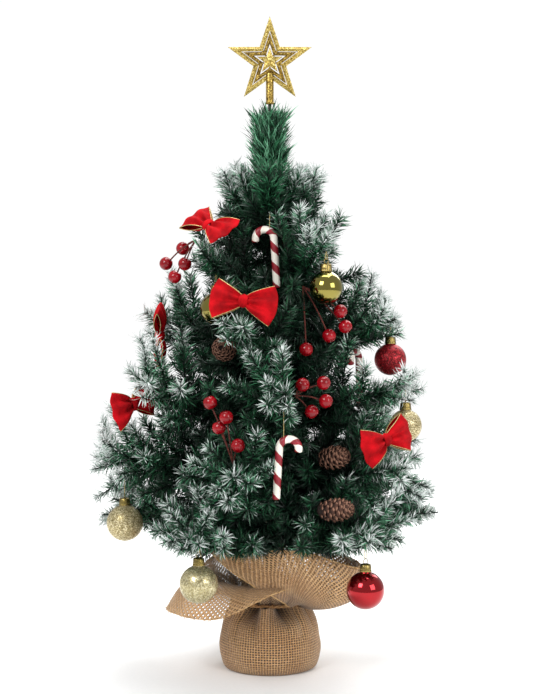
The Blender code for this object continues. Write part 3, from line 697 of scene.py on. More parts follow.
# Painted shade: within each green the colour darkens towards the needle's root.
greens_with_painted_shade = ramp(
    tree,
    shade,
    (0.00, "#040a06"),
    (0.02, "#08140d"),
    (0.24, "#1d3c2b"),
    (0.25, "#0c2016"),
    (0.49, "#29603f"),
    (0.50, "#112b1d"),
    (0.74, "#3f8a5f"),
    (0.75, "#1b4430"),
    (0.99, "#86cfa4"),
)
# Each needle has its own frost value, so a fine pattern over the map differs from needle to needle.
spread_map = add(tree, "ShaderNodeVectorMath", {0: film_map, 1: (56.0, 170.0, 1.0)}, operation="MULTIPLY")
clumps = grained(tree, 1.0, 1.0, spread_map)
along = maths(tree, "FRACT", maths(tree, "MULTIPLY", shade, 4.0))
above = maths(tree, "SUBTRACT", rime, mapped(tree, along, 1.08, 0.30))
cover = maths(tree, "ADD", above, mapped(tree, clumps, -0.20, 0.16, 0.3, 0.7))
flocked = mapped(tree, cover, 0.0, 0.94, -0.06, 0.16)
powder = ramp(tree, rime, (0.3, "#8b9c93"), (0.6, "#b4c0ba"), (1.0, "#dfe3e2"))
dress(tree, mixed(tree, flocked, greens_with_painted_shade, powder), roughness=mapped(tree, flocked, 0.36, 0.9))

needle_levels = ((0.0, 0.42, 0.24, 0.0), (0.62, 0.5, 0.22, 0.7), (1.0, 0.0, 0.0, 2.6))
needle = place_mesh("needle", stick_mesh("needle", needle_levels), film)


def curved_line(start, along, lift, length, steps):
    """Points of a wire that leaves start along a direction and curves up by lift at its end."""
    shares = (i / steps for i in range(steps + 1))
    return [start + along * (length * s) + Vector((0, 0, lift * s * s)) for s in shares]


def limb_frame(number):
    """Where a branch bends at the trunk, its directions outwards and to the right, and its CAD tip."""
    foot = Vector(next(j for j in frame["joints"] if j["name"] == f"branch_{number}_bend")["pos_m"])
    tip = max((v.co for v in nodes[f"branch_{number}"].data.vertices), key=lambda co: (co - foot).length)
    out = Vector((tip.x - foot.x, tip.y - foot.y, 0)).normalized()
    return foot, out, Vector((-out.y, out.x, 0)), tip.copy()


# By tier, from the lowest: how much its twigs turn up, how far their ends curve up, their size, how far they
# may end past the main wire, and the main wire's end as a share of the CAD branch.
TIERS = (
    (0.08, 0.004, 1.0, 0.015, 0.98),
    (0.16, 0.006, 1.0, 0.015, 0.98),
    (0.24, 0.009, 1.0, 0.010, 0.98),
    (0.36, 0.012, 1.0, 0.006, 0.98),
    (0.75, 0.014, 0.95, 0.002, 0.90),
    (1.00, 0.014, 0.62, -0.010, 0.74),
)
MAIN_STEPS = 12
TWIG_STEPS = 5
FIRST_STATION, LAST_STATION = 0.07, 0.90  # as shares of the main wire
TWIG_SPREAD = (38, 64)  # degrees from the main wire
TWIG_LONG, TWIG_SHORTER = 0.070, 0.026  # at the root, and how much less at the tip
TWIG_LEAST = 0.022
STEEPEST_FALL = -0.12  # of a twig of the lowest tier, which must clear the collar


def limb_lines(number):
    """The wires of one branch: its main wire, and rounds of twigs that shorten towards the tip."""
    chance = random.Random(f"limb {number}")
    tier = int(number[0])
    turn_up, twig_lift, twig_size, proud, main_share = TIERS[tier - 1]
    foot, out, right, tip = limb_frame(number)
    reach = Vector((tip.x - foot.x, tip.y - foot.y, 0)).length
    rise = tip.z - foot.z - TIP_LIFT
    length = math.hypot(reach, rise) * main_share
    along = (out * reach + Vector((0, 0, rise))).normalized()
    up = right.cross(along) if right.cross(along).z > 0 else along.cross(right)
    facing_front = max(0.0, -out.y) ** 3
    outer_snow = 0.10 if number == UNFLOCKED_LIMB else 1.12 - 0.34 * facing_front

    def main_point(share):
        return foot + along * (length * share) + Vector((0, 0, TIP_LIFT * share**2))

    def snow_at(share, end):
        return outer_snow * (0.02 + 0.96 * smooth(0.46, 0.92, share) * (0.36 + 0.64 * end))

    # Painted shade: greens darker towards the trunk, and darker on branches that face the front.
    def painted_light_at(share):
        return (0.20 + 0.80 * smooth(0.40, 0.90, share)) * (1.0 - 0.22 * facing_front)

    main = []
    for i in range(MAIN_STEPS + 1):
        share = 0.05 + 0.95 * i / MAIN_STEPS
        size = NEEDLE_LENGTH * (0.80 + 0.20 * smooth(0.05, 0.4, share))
        size *= 1 - 0.25 * smooth(0.80, 1.0, share)
        main.append((main_point(share), size, snow_at(share, share), painted_light_at(share)))
    lines = [main]
    stations = max(5, round(length / STATION_PITCH))
    for i in range(stations):
        share = FIRST_STATION + (LAST_STATION - FIRST_STATION) * i / (stations - 1)
        first_clock = 180.0 / TWIGS_ROUND * (i % 2) + chance.uniform(-16, 16)
        for k in range(TWIGS_ROUND):
            clock = math.radians(first_clock + 360.0 / TWIGS_ROUND * k)
            aside = right * math.sin(clock) + up * math.cos(clock)
            spread = math.radians(chance.uniform(*TWIG_SPREAD) + 14 * (1 - smooth(0.05, 0.35, share)))
            heading = along * math.cos(spread) + aside * math.sin(spread)
            heading += Vector((0, 0, turn_up * smooth(0.1, 0.5, share)))
            heading.normalize()
            if tier == 1 and heading.z < STEEPEST_FALL:
                heading = (heading - Vector((0, 0, heading.z + 0.10))).normalized()
            twig = (TWIG_LONG - TWIG_SHORTER * share) * chance.uniform(0.80, 1.14) * twig_size
            room = (1.0 - share) * length / max(0.2, heading.dot(along))
            twig = min(twig, max(TWIG_LEAST, room + proud))
            lift = twig_lift * chance.uniform(0.4, 1.2) * twig / 0.045
            size = NEEDLE_LENGTH * chance.uniform(0.80, 0.98) * (1 - 0.18 * smooth(0.5, 0.9, share))
            line = []
            for s, point in enumerate(curved_line(main_point(share), heading, lift, twig, TWIG_STEPS)):
                end = s / TWIG_STEPS
                snow = snow_at(share * 0.72 + 0.38 * end, end)
                line.append((point, size * (1 - 0.28 * end**2), snow, painted_light_at(share * 0.8 + 0.4 * end)))
            lines.append(line)
    return lines


# Nothing grows through what hangs on the tree, so the pieces' own solids say where no needle passes.
HUNG_WORDS = ("ball", "cane", "bow", "berry", "cone", "star_topper")
CLEARANCE = 0.0015
CLOTH_HEIGHT = 0.17  # above this no needle can touch the cloth
PROUD = 0.016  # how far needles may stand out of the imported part's box
VIEW_DEPTH = 0.045  # how much of the needles in front of a hung piece the decorator combs aside
NEEDLE_VERTS = 7
kept_clear = bmesh.new()
for node_name, node in nodes.items():
    if any(word in node_name for word in HUNG_WORDS):
        kept_clear.from_mesh(node.data)
clear_tree = BVHTree.FromBMesh(kept_clear)
kept_clear.free()
cloth_tree = BVHTree.FromObject(burlap, bpy.context.evaluated_depsgraph_get())
middle_of_box = (cad_low + cad_high) / 2
half_box = (cad_high - cad_low) / 2


def crosses(tree, start, end):
    """True if a straight needle passes through a surface of the tree or starts close to it."""
    reach = end - start
    if tree.ray_cast(start, reach.normalized(), reach.length + CLEARANCE)[0] is not None:
        return True
    return tree.find_nearest(start, CLEARANCE)[0] is not None


def hides(point):
    """True if a hung piece lies right behind the point, on the way to the trunk or as seen from the front."""
    if clear_tree.ray_cast(point, Vector((0, 1, 0)), VIEW_DEPTH)[0] is not None:
        return True
    inwards = Vector((-point.x, -point.y, 0))
    if inwards.length < 0.02:
        return False
    return clear_tree.ray_cast(point, inwards.normalized(), VIEW_DEPTH)[0] is not None


def thinned(mesh):
    """The mesh without the needles that cross a hung piece or the cloth, hide a piece or leave the box."""
    co = np.empty(len(mesh.vertices) * 3, np.float32)
    mesh.vertices.foreach_get("co", co)
    co = co.reshape(-1, 3)
    along = np.empty(len(mesh.vertices), np.float32)
    mesh.attributes["along"].data.foreach_get("value", along)
    # A needle's vertices follow each other: its base ring, its middle ring and its tip.
    doomed = set()
    for tip in np.flatnonzero(along > 0.99):
        first = tip - (NEEDLE_VERTS - 1)
        start = Vector(co[first : first + 3].mean(0).tolist())
        end = Vector(co[tip].tolist())
        cut = any(abs(end[k] - middle_of_box[k]) > half_box[k] + PROUD for k in (0, 1))
        cut = cut or crosses(clear_tree, start, end) or hides(start.lerp(end, 0.5)) or hides(end)
        if cut or (start.z < CLOTH_HEIGHT and crosses(cloth_tree, start, end)):
            doomed.update(range(first, tip + 1))
    if doomed:
        bm = bmesh.new()
        bm.from_mesh(mesh)
        bm.verts.ensure_lookup_table()
        bmesh.ops.delete(bm, geom=[bm.verts[i] for i in doomed], context="VERTS")
        bm.to_mesh(mesh)
        bm.free()
    return mesh


def is_free(line):
    """True if a twig's wire runs clear of everything that is hung, hides none of it, and clears the cloth."""
    points = [row[0] for row in line]
    if any(hides(point) for point in points[-3:]):
        return False
    pairs = list(zip(points, points[1:]))
    return not any(crosses(tree, a, b) for a, b in pairs for tree in (clear_tree, cloth_tree))


def grow_brush(name, lines, seed, lean, spread, spacing=NEEDLE_SPACING):
    """One limb's wires and needles as a finished piece. The first line is its main wire."""
    mesh = grown(
        f"{name}_wires",
        lines[:1] + [line for line in lines[1:] if is_free(line)],
        bristles,
        Bristle=needle,
        Spacing=spacing,
        Width=NEEDLE_WIDTH,
        Lean=lean,
        Lean_spread=spread,
        Wire_radius=TWIG_WIRE,
        Seed=seed,
        Film=film,
    )
    thinned(mesh)
    for label in ("along", "side", "shade", "frost", "run", "round", "length", "snow", "light"):
        if label in mesh.attributes:
            mesh.attributes.remove(mesh.attributes[label])
    return place_mesh(name, mesh, film)


for seed, node_name in enumerate(sorted(name for name in nodes if name.startswith("branch_"))):
    number = node_name[len("branch_") :]
    lean, spread = (0.70, 0.25) if number == UNFLOCKED_LIMB else (0.86, 0.30)
    brush = grow_brush(f"brush_{number}", limb_lines(number), 20 * seed + 3, lean, spread)
    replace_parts(brush, node_name)
    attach(brush, f"limb_{number}")

# Short unflocked twigs are wound straight onto the trunk between the branches, and fill the tree's core.
CORE_TWIGS = 42
CORE_LOW, CORE_HIGH = 0.175, 0.415
CORE_FOOT = 0.007  # how far from the trunk's middle they start
CORE_STEPS = 4
TWIG_TURN = 137.5  # degrees round the trunk from one twig to the next
chance = random.Random("core")
core_lines = []
for i in range(CORE_TWIGS):
    height = CORE_LOW + (CORE_HIGH - CORE_LOW) * i / (CORE_TWIGS - 1)
    a = math.radians(TWIG_TURN * i + chance.uniform(-12, 12))
    heading = Vector((math.cos(a), math.sin(a), chance.uniform(-0.1, 0.75))).normalized()
    twig = chance.uniform(0.040, 0.058) * (1.0 - 0.35 * smooth(0.33, 0.41, height))
    points = curved_line(heading * CORE_FOOT + Vector((0, 0, height)), heading, 0.005, twig, CORE_STEPS)
    # Painted shade keeps the core's greens dark.
    core_lines.append([(point, NEEDLE_LENGTH, 0.0, 0.24 + 0.07 * s) for s, point in enumerate(points)])
core = grow_brush("core_brush", core_lines, 1201, 0.90, 0.30)
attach(core, "stand")

# ---- The leader ----
# The trunk's top is a long upright tuft of unflocked film wound on one wire, its needles pressed upwards.
# The star's tube slips over the bare end of the wire.
LEADER_NEEDLE = 0.0215
LEADER_TOP = 0.116  # the end of the needled wire above the leader's foot
LEADER_SIDES = 8  # side wires round the middle one
LEADER_STEPS = 8
LEADER_SPACING = 0.00022
LEADER_WIRE = 0.0016
leader_low, leader_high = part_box("leader_tip")
side_wire_reach = 0.72 * (leader_high.x - leader_low.x) / 2
leader_lines = []
for i in range(LEADER_SIDES + 1):
    a = 2 * math.pi * i / LEADER_SIDES
    reach, foot, short = side_wire_reach, 0.006 + 0.012 * (i % 3), 0.003 + 0.003 * (i % 3)
    if i == LEADER_SIDES:
        reach, foot, short = 0.0, 0.002, 0.0
    line = []
    for share in (s / LEADER_STEPS for s in range(LEADER_STEPS + 1)):
        out = reach * (0.72 + 0.28 * share)
        height = leader_low.z + foot + (LEADER_TOP - short - foot) * share
        line.append((Vector((out * math.cos(a), out * math.sin(a), height)), LEADER_NEEDLE, 0.03, 1.0))
    leader_lines.append(line)
# Frosted side shoots stand up close round the leader, all but at its front.
for i, heading in enumerate((58.0, 96.0, 138.0, 180.0, 222.0, 264.0, 302.0)):
    out = at_heading(heading, 1.0, 0.0)
    start = out * 0.005 + Vector((0, 0, leader_low.z + 0.010 + 0.006 * (i % 3)))
    direction = (out + Vector((0, 0, 1.7 + 0.25 * (i % 2)))).normalized()
    shoot = curved_line(start, direction, 0.004, 0.056 - 0.005 * (i % 3), TWIG_STEPS)
    # Painted shade darkens the shoots' greens towards their feet.
    leader_lines.append(
        [(point, 0.0165 - 0.001 * s, 0.05 + 0.17 * s, 0.4 + 0.12 * s) for s, point in enumerate(shoot)]
    )
leader = grow_brush("leader_brush", leader_lines, 977, 0.66, 0.22, LEADER_SPACING)
bm = bmesh.new()
heights = (leader_low.z, leader_low.z + 0.06, leader_high.z)
tube_into(bm, [(0, 0, height) for height in heights], LEADER_WIRE, 10)
leader_wire = piece_of(bm, "leader_wire", tape)
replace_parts(leader, "leader_tip")
for piece in (leader, leader_wire):
    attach(piece, "stand")
bpy.data.objects.remove(needle)

# ---- The star ----
# Moulded plastic: a wide star frame, a darker one in it and a small star in the middle, joined by ribs.
# It is dusted all over with glitter in clear glue, and a tube behind it slips over the leader.
STAR_WAIST = 0.39
STAR_RADIUS = 0.041
INNER_STAR_RADIUS = 0.0262
HEART_RADIUS = 0.0125
RIB_RADIUS = 0.0010
STEM_BORE, STEM_WALL, STEM_LIP = 0.0024, 0.0036, 0.0005
star_low, star_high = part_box("star_topper")
star_middle = Vector((0.0, 0.0, star_high.z - STAR_RADIUS))
half_depth = min((star_high.y - star_low.y) / 2, 0.0016)


def glitter(name, dark, base, light, flake, metallic, rough):
    """Glitter in clear glue: flakes of one metal, each tipped its own way by its bump, so some flash
    and some are dark. Each flake's colour also runs from dark to light, as painted glints and shade.

    Real flakes are 0.2 to 0.4 mm and would blur together, so they are drawn about twice as coarse.
    """
    material, tree = new_material(name, Metallic=metallic)
    place = add(tree, "ShaderNodeTexCoord").outputs["Object"]
    cells = add(tree, "ShaderNodeTexVoronoi", {"Vector": place, "Scale": 1 / flake}).outputs["Color"]
    tone, sheen, tip = add(tree, "ShaderNodeSeparateColor", {0: cells}).outputs
    # Painted glints and shade: each flake takes a colour from dark to light.
    colour = ramp(tree, tone, (0.0, dark), (0.55, base), (1.0, light))
    dress(tree, colour, tip, 0.75, flake * 0.5, mapped(tree, sheen, rough - 0.12, rough + 0.2))
    return material


pale_glitter = glitter("gold_glitter_in_glue", "#6b5722", "#b89c48", "#e9d88f", 0.0008, 0.7, 0.36)
dark_glitter = glitter("bronze_glitter_in_glue", "#4a3812", "#8f7430", "#d9bd66", 0.0008, 0.75, 0.34)
STAR_CORNERS = [(math.pi / 2 + math.pi * i / 5, STAR_WAIST if i % 2 else 1.0) for i in range(10)]


def star_line(bm, radius, y):
    """The ten corners of a star about the origin in X and Z."""
    return [bm.verts.new((radius * r * math.cos(a), y, radius * r * math.sin(a))) for a, r in STAR_CORNERS]


def skin(bm, low, high):
    """Faces between two closed rings of corners."""
    for i, corner in enumerate(low):
        j = (i + 1) % len(low)
        bm.faces.new((corner, low[j], high[j], high[i]))


def star_ring(bm, radius, bar, depth, ridge):
    """A closed star frame about the origin in X and Z. Its bars are roofed: highest along their middle."""
    (a0, r0), (a1, r1) = STAR_CORNERS[:2]
    x0, z0, x1, z1 = r0 * math.cos(a0), r0 * math.sin(a0), r1 * math.cos(a1), r1 * math.sin(a1)
    apothem = abs(x0 * z1 - x1 * z0) / math.hypot(x1 - x0, z1 - z0)
    inner = (radius * apothem - bar) / apothem
    front = [(0.0, depth * 0.5), (0.25, depth), (0.5, depth + ridge), (0.75, depth), (1.0, depth * 0.5)]
    section = [(share, -y) for share, y in front] + front[::-1]
    rings = [star_line(bm, radius - (radius - inner) * share, y) for share, y in section]
    for low, high in zip(rings, rings[1:] + rings[:1]):
        skin(bm, low, high)


def finish_star(bm, name, material):
    """One moulded piece of the star, with edges that the mould leaves slightly round."""
    bmesh.ops.translate(bm, verts=bm.verts, vec=star_middle)
    obj = piece_of(bm, name, material)
    bevel = obj.modifiers.new("worn_edges", "BEVEL")
    bevel.width = 0.0002
    bevel.segments = 2
    bevel.limit_method = "ANGLE"
    bevel.angle_limit = math.radians(35)
    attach(obj, "star")
    return obj


bm = bmesh.new()
star_ring(bm, STAR_RADIUS, 0.0042, half_depth * 0.8, 0.0008)
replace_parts(finish_star(bm, "star_frame", pale_glitter), "star_topper")
bm = bmesh.new()
star_ring(bm, INNER_STAR_RADIUS, 0.0034, half_depth * 0.9, 0.0008)
rib_ends = (0.0055, STAR_RADIUS * STAR_WAIST - 0.0012)
for a, _ in STAR_CORNERS[1::2]:
    tube_into(bm, [(r * math.cos(a), 0, r * math.sin(a)) for r in rib_ends], RIB_RADIUS, 6)
finish_star(bm, "star_middle_frame", dark_glitter)
bm = bmesh.new()
rings = [star_line(bm, HEART_RADIUS, y) for y in (-0.0012, 0.0012)]
skin(bm, *rings)
for ring, peak in zip(rings, (-0.0026, 0.0026)):
    top = bm.verts.new((0, peak, 0))
    for i in range(10):
        bm.faces.new((top, ring[i], ring[(i + 1) % 10]))
finish_star(bm, "star_heart", pale_glitter)


def turned_into(bm, profile, steps, ribs=0, rib_depth=0.0):
    """Adds a solid of revolution about Z. A profile point is (radius, height) and radius 0 is a pole.

    A third number in a profile point is how much of the rib depth its ring has.
    """
    rings = []
    for radius, height, *ribbed in profile:
        ring = []
        for i in range(steps if radius else 1):
            a = 2 * math.pi * i / steps
            r = radius + (rib_depth * math.cos(ribs * a) * ribbed[0] if ribbed else 0.0)
            ring.append(bm.verts.new((r * math.cos(a), r * math.sin(a), height)))
        rings.append(ring)
    pairs = list(zip(rings, rings[1:]))
    if len(rings[0]) > 1:
        pairs.append((rings[-1], rings[0]))
    for low, high in pairs:
        if len(low) == len(high) == 1:
            continue  # the two walls' poles
        for i in range(steps):
            spots = ((low, i), (low, i + 1), (high, i + 1), (high, i))
            corners = dict.fromkeys(ring[k % len(ring)] for ring, k in spots)
            bm.faces.new(list(corners)).smooth = True


stem_top = -INNER_STAR_RADIUS * STAR_WAIST
stem_foot = star_low.z - star_middle.z
bm = bmesh.new()
turned_into(
    bm,
    (
        (0.0, stem_top),
        (STEM_WALL, stem_top - 0.001),
        (STEM_WALL, stem_foot + 0.002),
        (STEM_WALL + STEM_LIP, stem_foot + 0.0015),
        (STEM_WALL + STEM_LIP, stem_foot),
        (STEM_BORE, stem_foot),
        (STEM_BORE, stem_top - 0.003),
        (0.0, stem_top - 0.003),
    ),
    24,
)
finish_star(bm, "star_stem", dark_glitter)

# ---- The baubles ----
# Blown plastic shells, 34 and 30 mm, vacuum coated or glittered, each with a neck under its cap.
# A crimped cap of gold foil plastic holds a wire ring, and a loop of gold thread ties it to the twig.
SHELL_WALL = 0.001
SHELL_STEPS = 30
CAP_RADIUS = 0.0050
CAP_HEIGHT = 0.0072
CAP_RIBS, RIB_DEPTH = 24, 0.00016
RING_RADIUS = 0.0024
RING_WIRE = 0.00038
THREAD = 0.00032
THREAD_END = 0.004  # how far a loop of thread reaches past its CAD loop, over the twig


def mirror_coat(name, hex_colour, rough, metallic=1.0):
    """Vacuum metal under lacquer: a mirror with the faint unevenness of a blown shell."""
    material, tree = new_material(name, Metallic=metallic, Coat_Weight=0.5, Coat_Roughness=0.03)
    ripple = grained(tree, 60.0)
    deep = linear(hex_colour)
    pale = (*(min(1.0, c * 1.18) for c in deep[:3]), 1.0)
    dress(tree, mixed(tree, ripple, deep, pale), roughness=mapped(tree, ripple, rough, rough + 0.05))
    return material


gold_shell = glitter("gold_glitter_shell", "#7a6c46", "#b5a678", "#ece0ba", 0.0009, 0.6, 0.38)
gold_coat = mirror_coat("gold_vacuum_coat", "#857b36", 0.07)
# name: CAD slot and coat
BALLS = {
    "gold_glitter_ball_left": ("glitter_gold", gold_shell),
    "gold_glitter_ball_right": ("glitter_gold", gold_shell),
    "champagne_ball": (
        "champagne",
        glitter("champagne_pearl_shell", "#8f835c", "#b6ab80", "#e2dab6", 0.0009, 0.7, 0.26),
    ),
    "red_gloss_ball": ("red_gloss", mirror_coat("red_vacuum_coat", "#9a0512", 0.06, 0.92)),
    "gold_gloss_ball": ("gold_gloss", gold_coat),
    "gold_gloss_ball_behind": ("gold_gloss", gold_coat),
    "red_glitter_ball": (
        "red_glitter",
        glitter("red_glitter_shell", "#4c050c", "#8a0c16", "#d0303a", 0.0009, 0.5, 0.38),
    ),
}
# Gold foil pressed over the plastic cap: duller than the coats.
cap_foil = mirror_coat("pressed_gold_foil", "#8c7a42", 0.24)
# Thread spun with gold foil: matt fibre, with short glints painted into its colour as lighter flecks.
thread_gold, tree = new_material("twisted_gold_thread", Metallic=0.6, Roughness=0.4)
dress(tree, ramp(tree, grained(tree, 1200.0), (0.3, "#8f7434"), (0.7, "#e2cf94")))


def thread_line(low, high, wide, steps, pinch):
    """A loop of thread in the local Y and Z plane, whose width follows pinch(cosine of the way round)."""
    points = []
    for i in range(steps):
        a = 2 * math.pi * i / steps
        rise = (high - low) * (0.5 - 0.5 * math.cos(a))
        points.append(Vector((0.0, wide * math.sin(a) * pinch(math.cos(a)), low + rise)))
    return points


for ball_name, (slot_name, coat) in BALLS.items():
    co = [v.co.copy() for v in nodes[ball_name].data.vertices]
    bottom = min(co, key=lambda p: p.z)
    widest = max(co, key=lambda p: (p - bottom).xy.length)
    rise, out = widest.z - bottom.z, (widest - bottom).xy.length
    radius = (out**2 + rise**2) / (2 * rise)
    cap_low, cap_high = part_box(f"{ball_name}_cap")
    axis = Vector((bottom.x, bottom.y, 0.0))
    centre = bottom.z + radius
    neck = CAP_RADIUS - 0.0004
    start = math.asin(neck / radius)
    arc = [start + (math.pi - start) * i / SHELL_STEPS for i in range(SHELL_STEPS)]
    inside = radius - SHELL_WALL
    profile = [(neck - SHELL_WALL, cap_low.z + 0.003 - centre), (neck, cap_low.z + 0.003 - centre)]
    profile += [(radius * math.sin(a), radius * math.cos(a)) for a in arc]
    profile += [(0.0, -radius), (0.0, -inside)]
    profile += [(inside * math.sin(a), inside * math.cos(a)) for a in arc[:0:-1]]
    bm = bmesh.new()
    turned_into(bm, [(r, z + centre) for r, z in profile], 56)
    bmesh.ops.translate(bm, verts=bm.verts, vec=axis)
    ball = piece_of(bm, f"{ball_name}_shell", coat)
    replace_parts(ball, ball_name)
    # The cap: a ribbed skirt that widens to a crimped edge, and a domed top.
    seat, top = cap_low.z, cap_low.z + CAP_HEIGHT
    bm = bmesh.new()
    turned_into(
        bm,
        (
            (0.0, top),
            (CAP_RADIUS * 0.55, top - 0.0001),
            (CAP_RADIUS * 0.86, top - 0.0004),
            (CAP_RADIUS - 0.0002, top - 0.0010, 0.4),
            (CAP_RADIUS, seat + 0.0022, 1.0),
            (CAP_RADIUS + 0.0001, seat + 0.0010, 1.0),
            (CAP_RADIUS + 0.0006, seat + 0.0002, 1.3),
            (CAP_RADIUS + 0.0001, seat + 0.0002, 1.0),
            (CAP_RADIUS - 0.0004, seat + 0.0022, 1.0),
            (CAP_RADIUS - 0.0008, top - 0.0012),
            (0.0, top - 0.0009),
        ),
        4 * CAP_RIBS,
        CAP_RIBS,
        RIB_DEPTH,
    )
    joint = next(j for j in frame["joints"] if j["name"] == f"{ball_name}_swing")
    spin = Matrix.Rotation(math.atan2(joint["axis"][1], joint["axis"][0]), 4, "Z")
    ring_middle = top + RING_RADIUS * 0.8
    ring = (Matrix.Rotation(math.pi * i / 10, 4, "X") @ Vector((0, 0, RING_RADIUS)) for i in range(20))
    tube_into(bm, [spin @ (p + Vector((0, 0, ring_middle))) for p in ring], RING_WIRE, 8, closed=True)
    bmesh.ops.translate(bm, verts=bm.verts, vec=axis)
    cap = piece_of(bm, f"{ball_name}_crimped_cap", cap_foil)
    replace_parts(cap, f"{ball_name}_cap")
    bm = bmesh.new()
    low, high = ring_middle + RING_RADIUS * 0.75, cap_high.z + THREAD_END
    loop_line = thread_line(low, high, 0.0016, 28, lambda c: 0.62 + 0.38 * c)
    tube_into(bm, [spin @ p for p in loop_line], THREAD, 6, closed=True)
    bmesh.ops.translate(bm, verts=bm.verts, vec=axis)
    thread = piece_of(bm, f"{ball_name}_thread", thread_gold)
    for piece in (ball, cap, thread):
        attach(piece, f"hung_{ball_name}")

# ---- The candy canes ----
# Solid polymer clay rods, twisted so that a crimson band winds round the white, and bent to a crook.
# They are left a little lumpy and satin, and hang by gold thread under the crook.
CANE_RADIUS = 0.0034
CANE_LENGTH = 0.044
CANE_BEND = 0.0085
CANE_CROOK = math.pi * 1.05
CANE_TURNS = 5.0
CANE_STEPS = 22  # along the straight, and as many round the crook
HANG_SHARE = 2 / 7  # how far round the crook it hangs
THREAD_GAP = CANE_RADIUS + 0.0004
# Clay in two colours twisted together: a soft-edged crimson band in off-white, smeared where it was rolled.
clay, tree = new_material("twisted_polymer_clay", Roughness=0.42, Subsurface_Weight=0.05)
rod_map = add(tree, "ShaderNodeUVMap", uv_map="OFBake")
around, along, _ = add(tree, "ShaderNodeSeparateXYZ", {0: rod_map}).outputs
smear = grained(tree, 260.0)
wound = maths(tree, "MULTIPLY_ADD", along, CANE_TURNS, around)
band = ramp(
    tree,
    maths(tree, "FRACT", maths(tree, "MULTIPLY_ADD", smear, 0.10, wound)),
    (0.0, "#f3ede2"),
    (0.52, "#efe7da"),
    (0.545, "#8c1220"),
    (0.70, "#7a0f1c"),
    (0.80, "#96182a"),
    (0.965, "#8c1220"),
    (0.99, "#f3ede2"),
)
dress(tree, band, smear, 0.25, 0.0006)


def crook_point(share):
    """A point of the crook, in the cane's own plane."""
    a = CANE_CROOK * share
    return Vector((CANE_BEND - CANE_BEND * math.cos(a), 0, CANE_LENGTH + CANE_BEND * math.sin(a)))


cane_line = [Vector((0.0, 0, CANE_LENGTH * i / CANE_STEPS)) for i in range(CANE_STEPS)]
cane_line += [crook_point(i / (CANE_STEPS - 1)) for i in range(CANE_STEPS)]
hung = crook_point(HANG_SHARE)
mass = sum(cane_line, Vector()) / len(cane_line)
upright = (mass - hung).rotation_difference(Vector((0, 0, -1))).to_matrix().to_4x4()
hung_line = [upright @ (p - hung) for p in cane_line]
# name: heading that the crook opens to
CANE_OPENINGS = {"candy_cane_top": -90.0, "candy_cane_front": 90.0, "candy_cane_right": -30.0}
for cane_name, opens in CANE_OPENINGS.items():
    joint = next(j for j in frame["joints"] if j["name"] == f"{cane_name}_swing")
    top = Vector(joint["pos_m"])
    spin = Matrix.Translation((top.x, top.y, 0)) @ Matrix.Rotation(math.radians(opens - 90), 4, "Z")
    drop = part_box(cane_name)[0].z + CANE_RADIUS - min(p.z for p in hung_line)
    line = [spin @ (p + Vector((0, 0, drop))) for p in hung_line]
    tail = (line[1] - line[0]).normalized() * CANE_RADIUS
    nose = (line[-1] - line[-2]).normalized() * CANE_RADIUS
    rounded = [line[0] - tail * 0.42, line[0] - tail * 0.30, *line]
    rounded += [line[-1] + nose * 0.30, line[-1] + nose * 0.42]
    ends = [CANE_RADIUS * 0.55, CANE_RADIUS * 0.86]
    bm = bmesh.new()
    bm.loops.layers.uv.new("OFBake")
    tube_into(bm, rounded, ends + [CANE_RADIUS] * len(line) + ends[::-1], 28)
    cane = piece_of(bm, f"{cane_name}_rod", clay)
    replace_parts(cane, cane_name)
    bm = bmesh.new()
    low, high = drop - CANE_RADIUS, top.z + THREAD_END
    loop_line = thread_line(low, high, THREAD_GAP, 36, lambda c: 0.66 - 0.34 * c**3)
    tube_into(bm, [spin @ p for p in loop_line], THREAD, 6, closed=True)
    thread = piece_of(bm, f"{cane_name}_thread", thread_gold)
    for piece in (cane, thread):
        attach(piece, f"hung_{cane_name}")

# ---- The bows ----
# Red flocked velvet ribbon with a fine gold wire in each edge, folded into two loops, pleated in the
# middle and cinched with a turn of the same ribbon, wired to a twig.
BOW_HALF = 0.031
BOW_HEIGHT = 0.040
BOW_DEPTH = 0.0042
PLEAT_DEPTH = 0.0024
RIBBON = 0.0005
EDGE_WIRE = 0.00035
LOOP_STEPS = 40
ACROSS_STEPS = 28
KNOT_HALF, KNOT_DEPTH, KNOT_HEIGHT = 0.0042, 0.0046, 0.0058
KNOT_SIDES = 24
# Velvet: a short dense red pile, brushed into lighter and darker patches.
velvet, tree = new_material(
    "flocked_red_velvet",
    Roughness=0.9,
    Specular_IOR_Level=0.15,
    Sheen_Weight=0.10,
    Sheen_Roughness=0.4,
    Sheen_Tint=linear("#c81c28"),
)
nap = grained(tree, 1400.0)
brushed = maths(tree, "MULTIPLY_ADD", nap, 0.35, grained(tree, 90.0))
dress(tree, ramp(tree, brushed, (0.45, "#84020a"), (0.68, "#ac0510"), (0.9, "#cc0a18")), nap, 0.3, 0.0003)

# name: heading that it faces, pitch upwards and roll, as it is wired on
BOW_TURNS = {
    "bow_top_left": (-34.0, 52.0, 24.0),
    "bow_middle": (-10.0, 8.0, 8.0),
    "bow_left": (-86.0, 0.0, 102.0),
    "bow_left_low": (-125.0, -14.0, 12.0),
    "bow_right": (40.0, 8.0, -14.0),
}


def facing(name, heading, pitch, roll=0.0):
    """Puts local -Y along the heading and up by the pitch, rolled about it, in the middle of a node's box."""
    low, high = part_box(name)
    turn = Matrix.Rotation(math.radians(heading), 4, "Z") @ Matrix.Rotation(math.radians(-pitch), 4, "X")
    return Matrix.Translation((low + high) / 2) @ turn @ Matrix.Rotation(math.radians(roll), 4, "Y")


def body_of(node_name):
    """The name of the body that a node is part of."""
    bodies = frame["record"]["behaviour"]["bodies"]
    return next(name for name, members in bodies.items() if node_name in members)


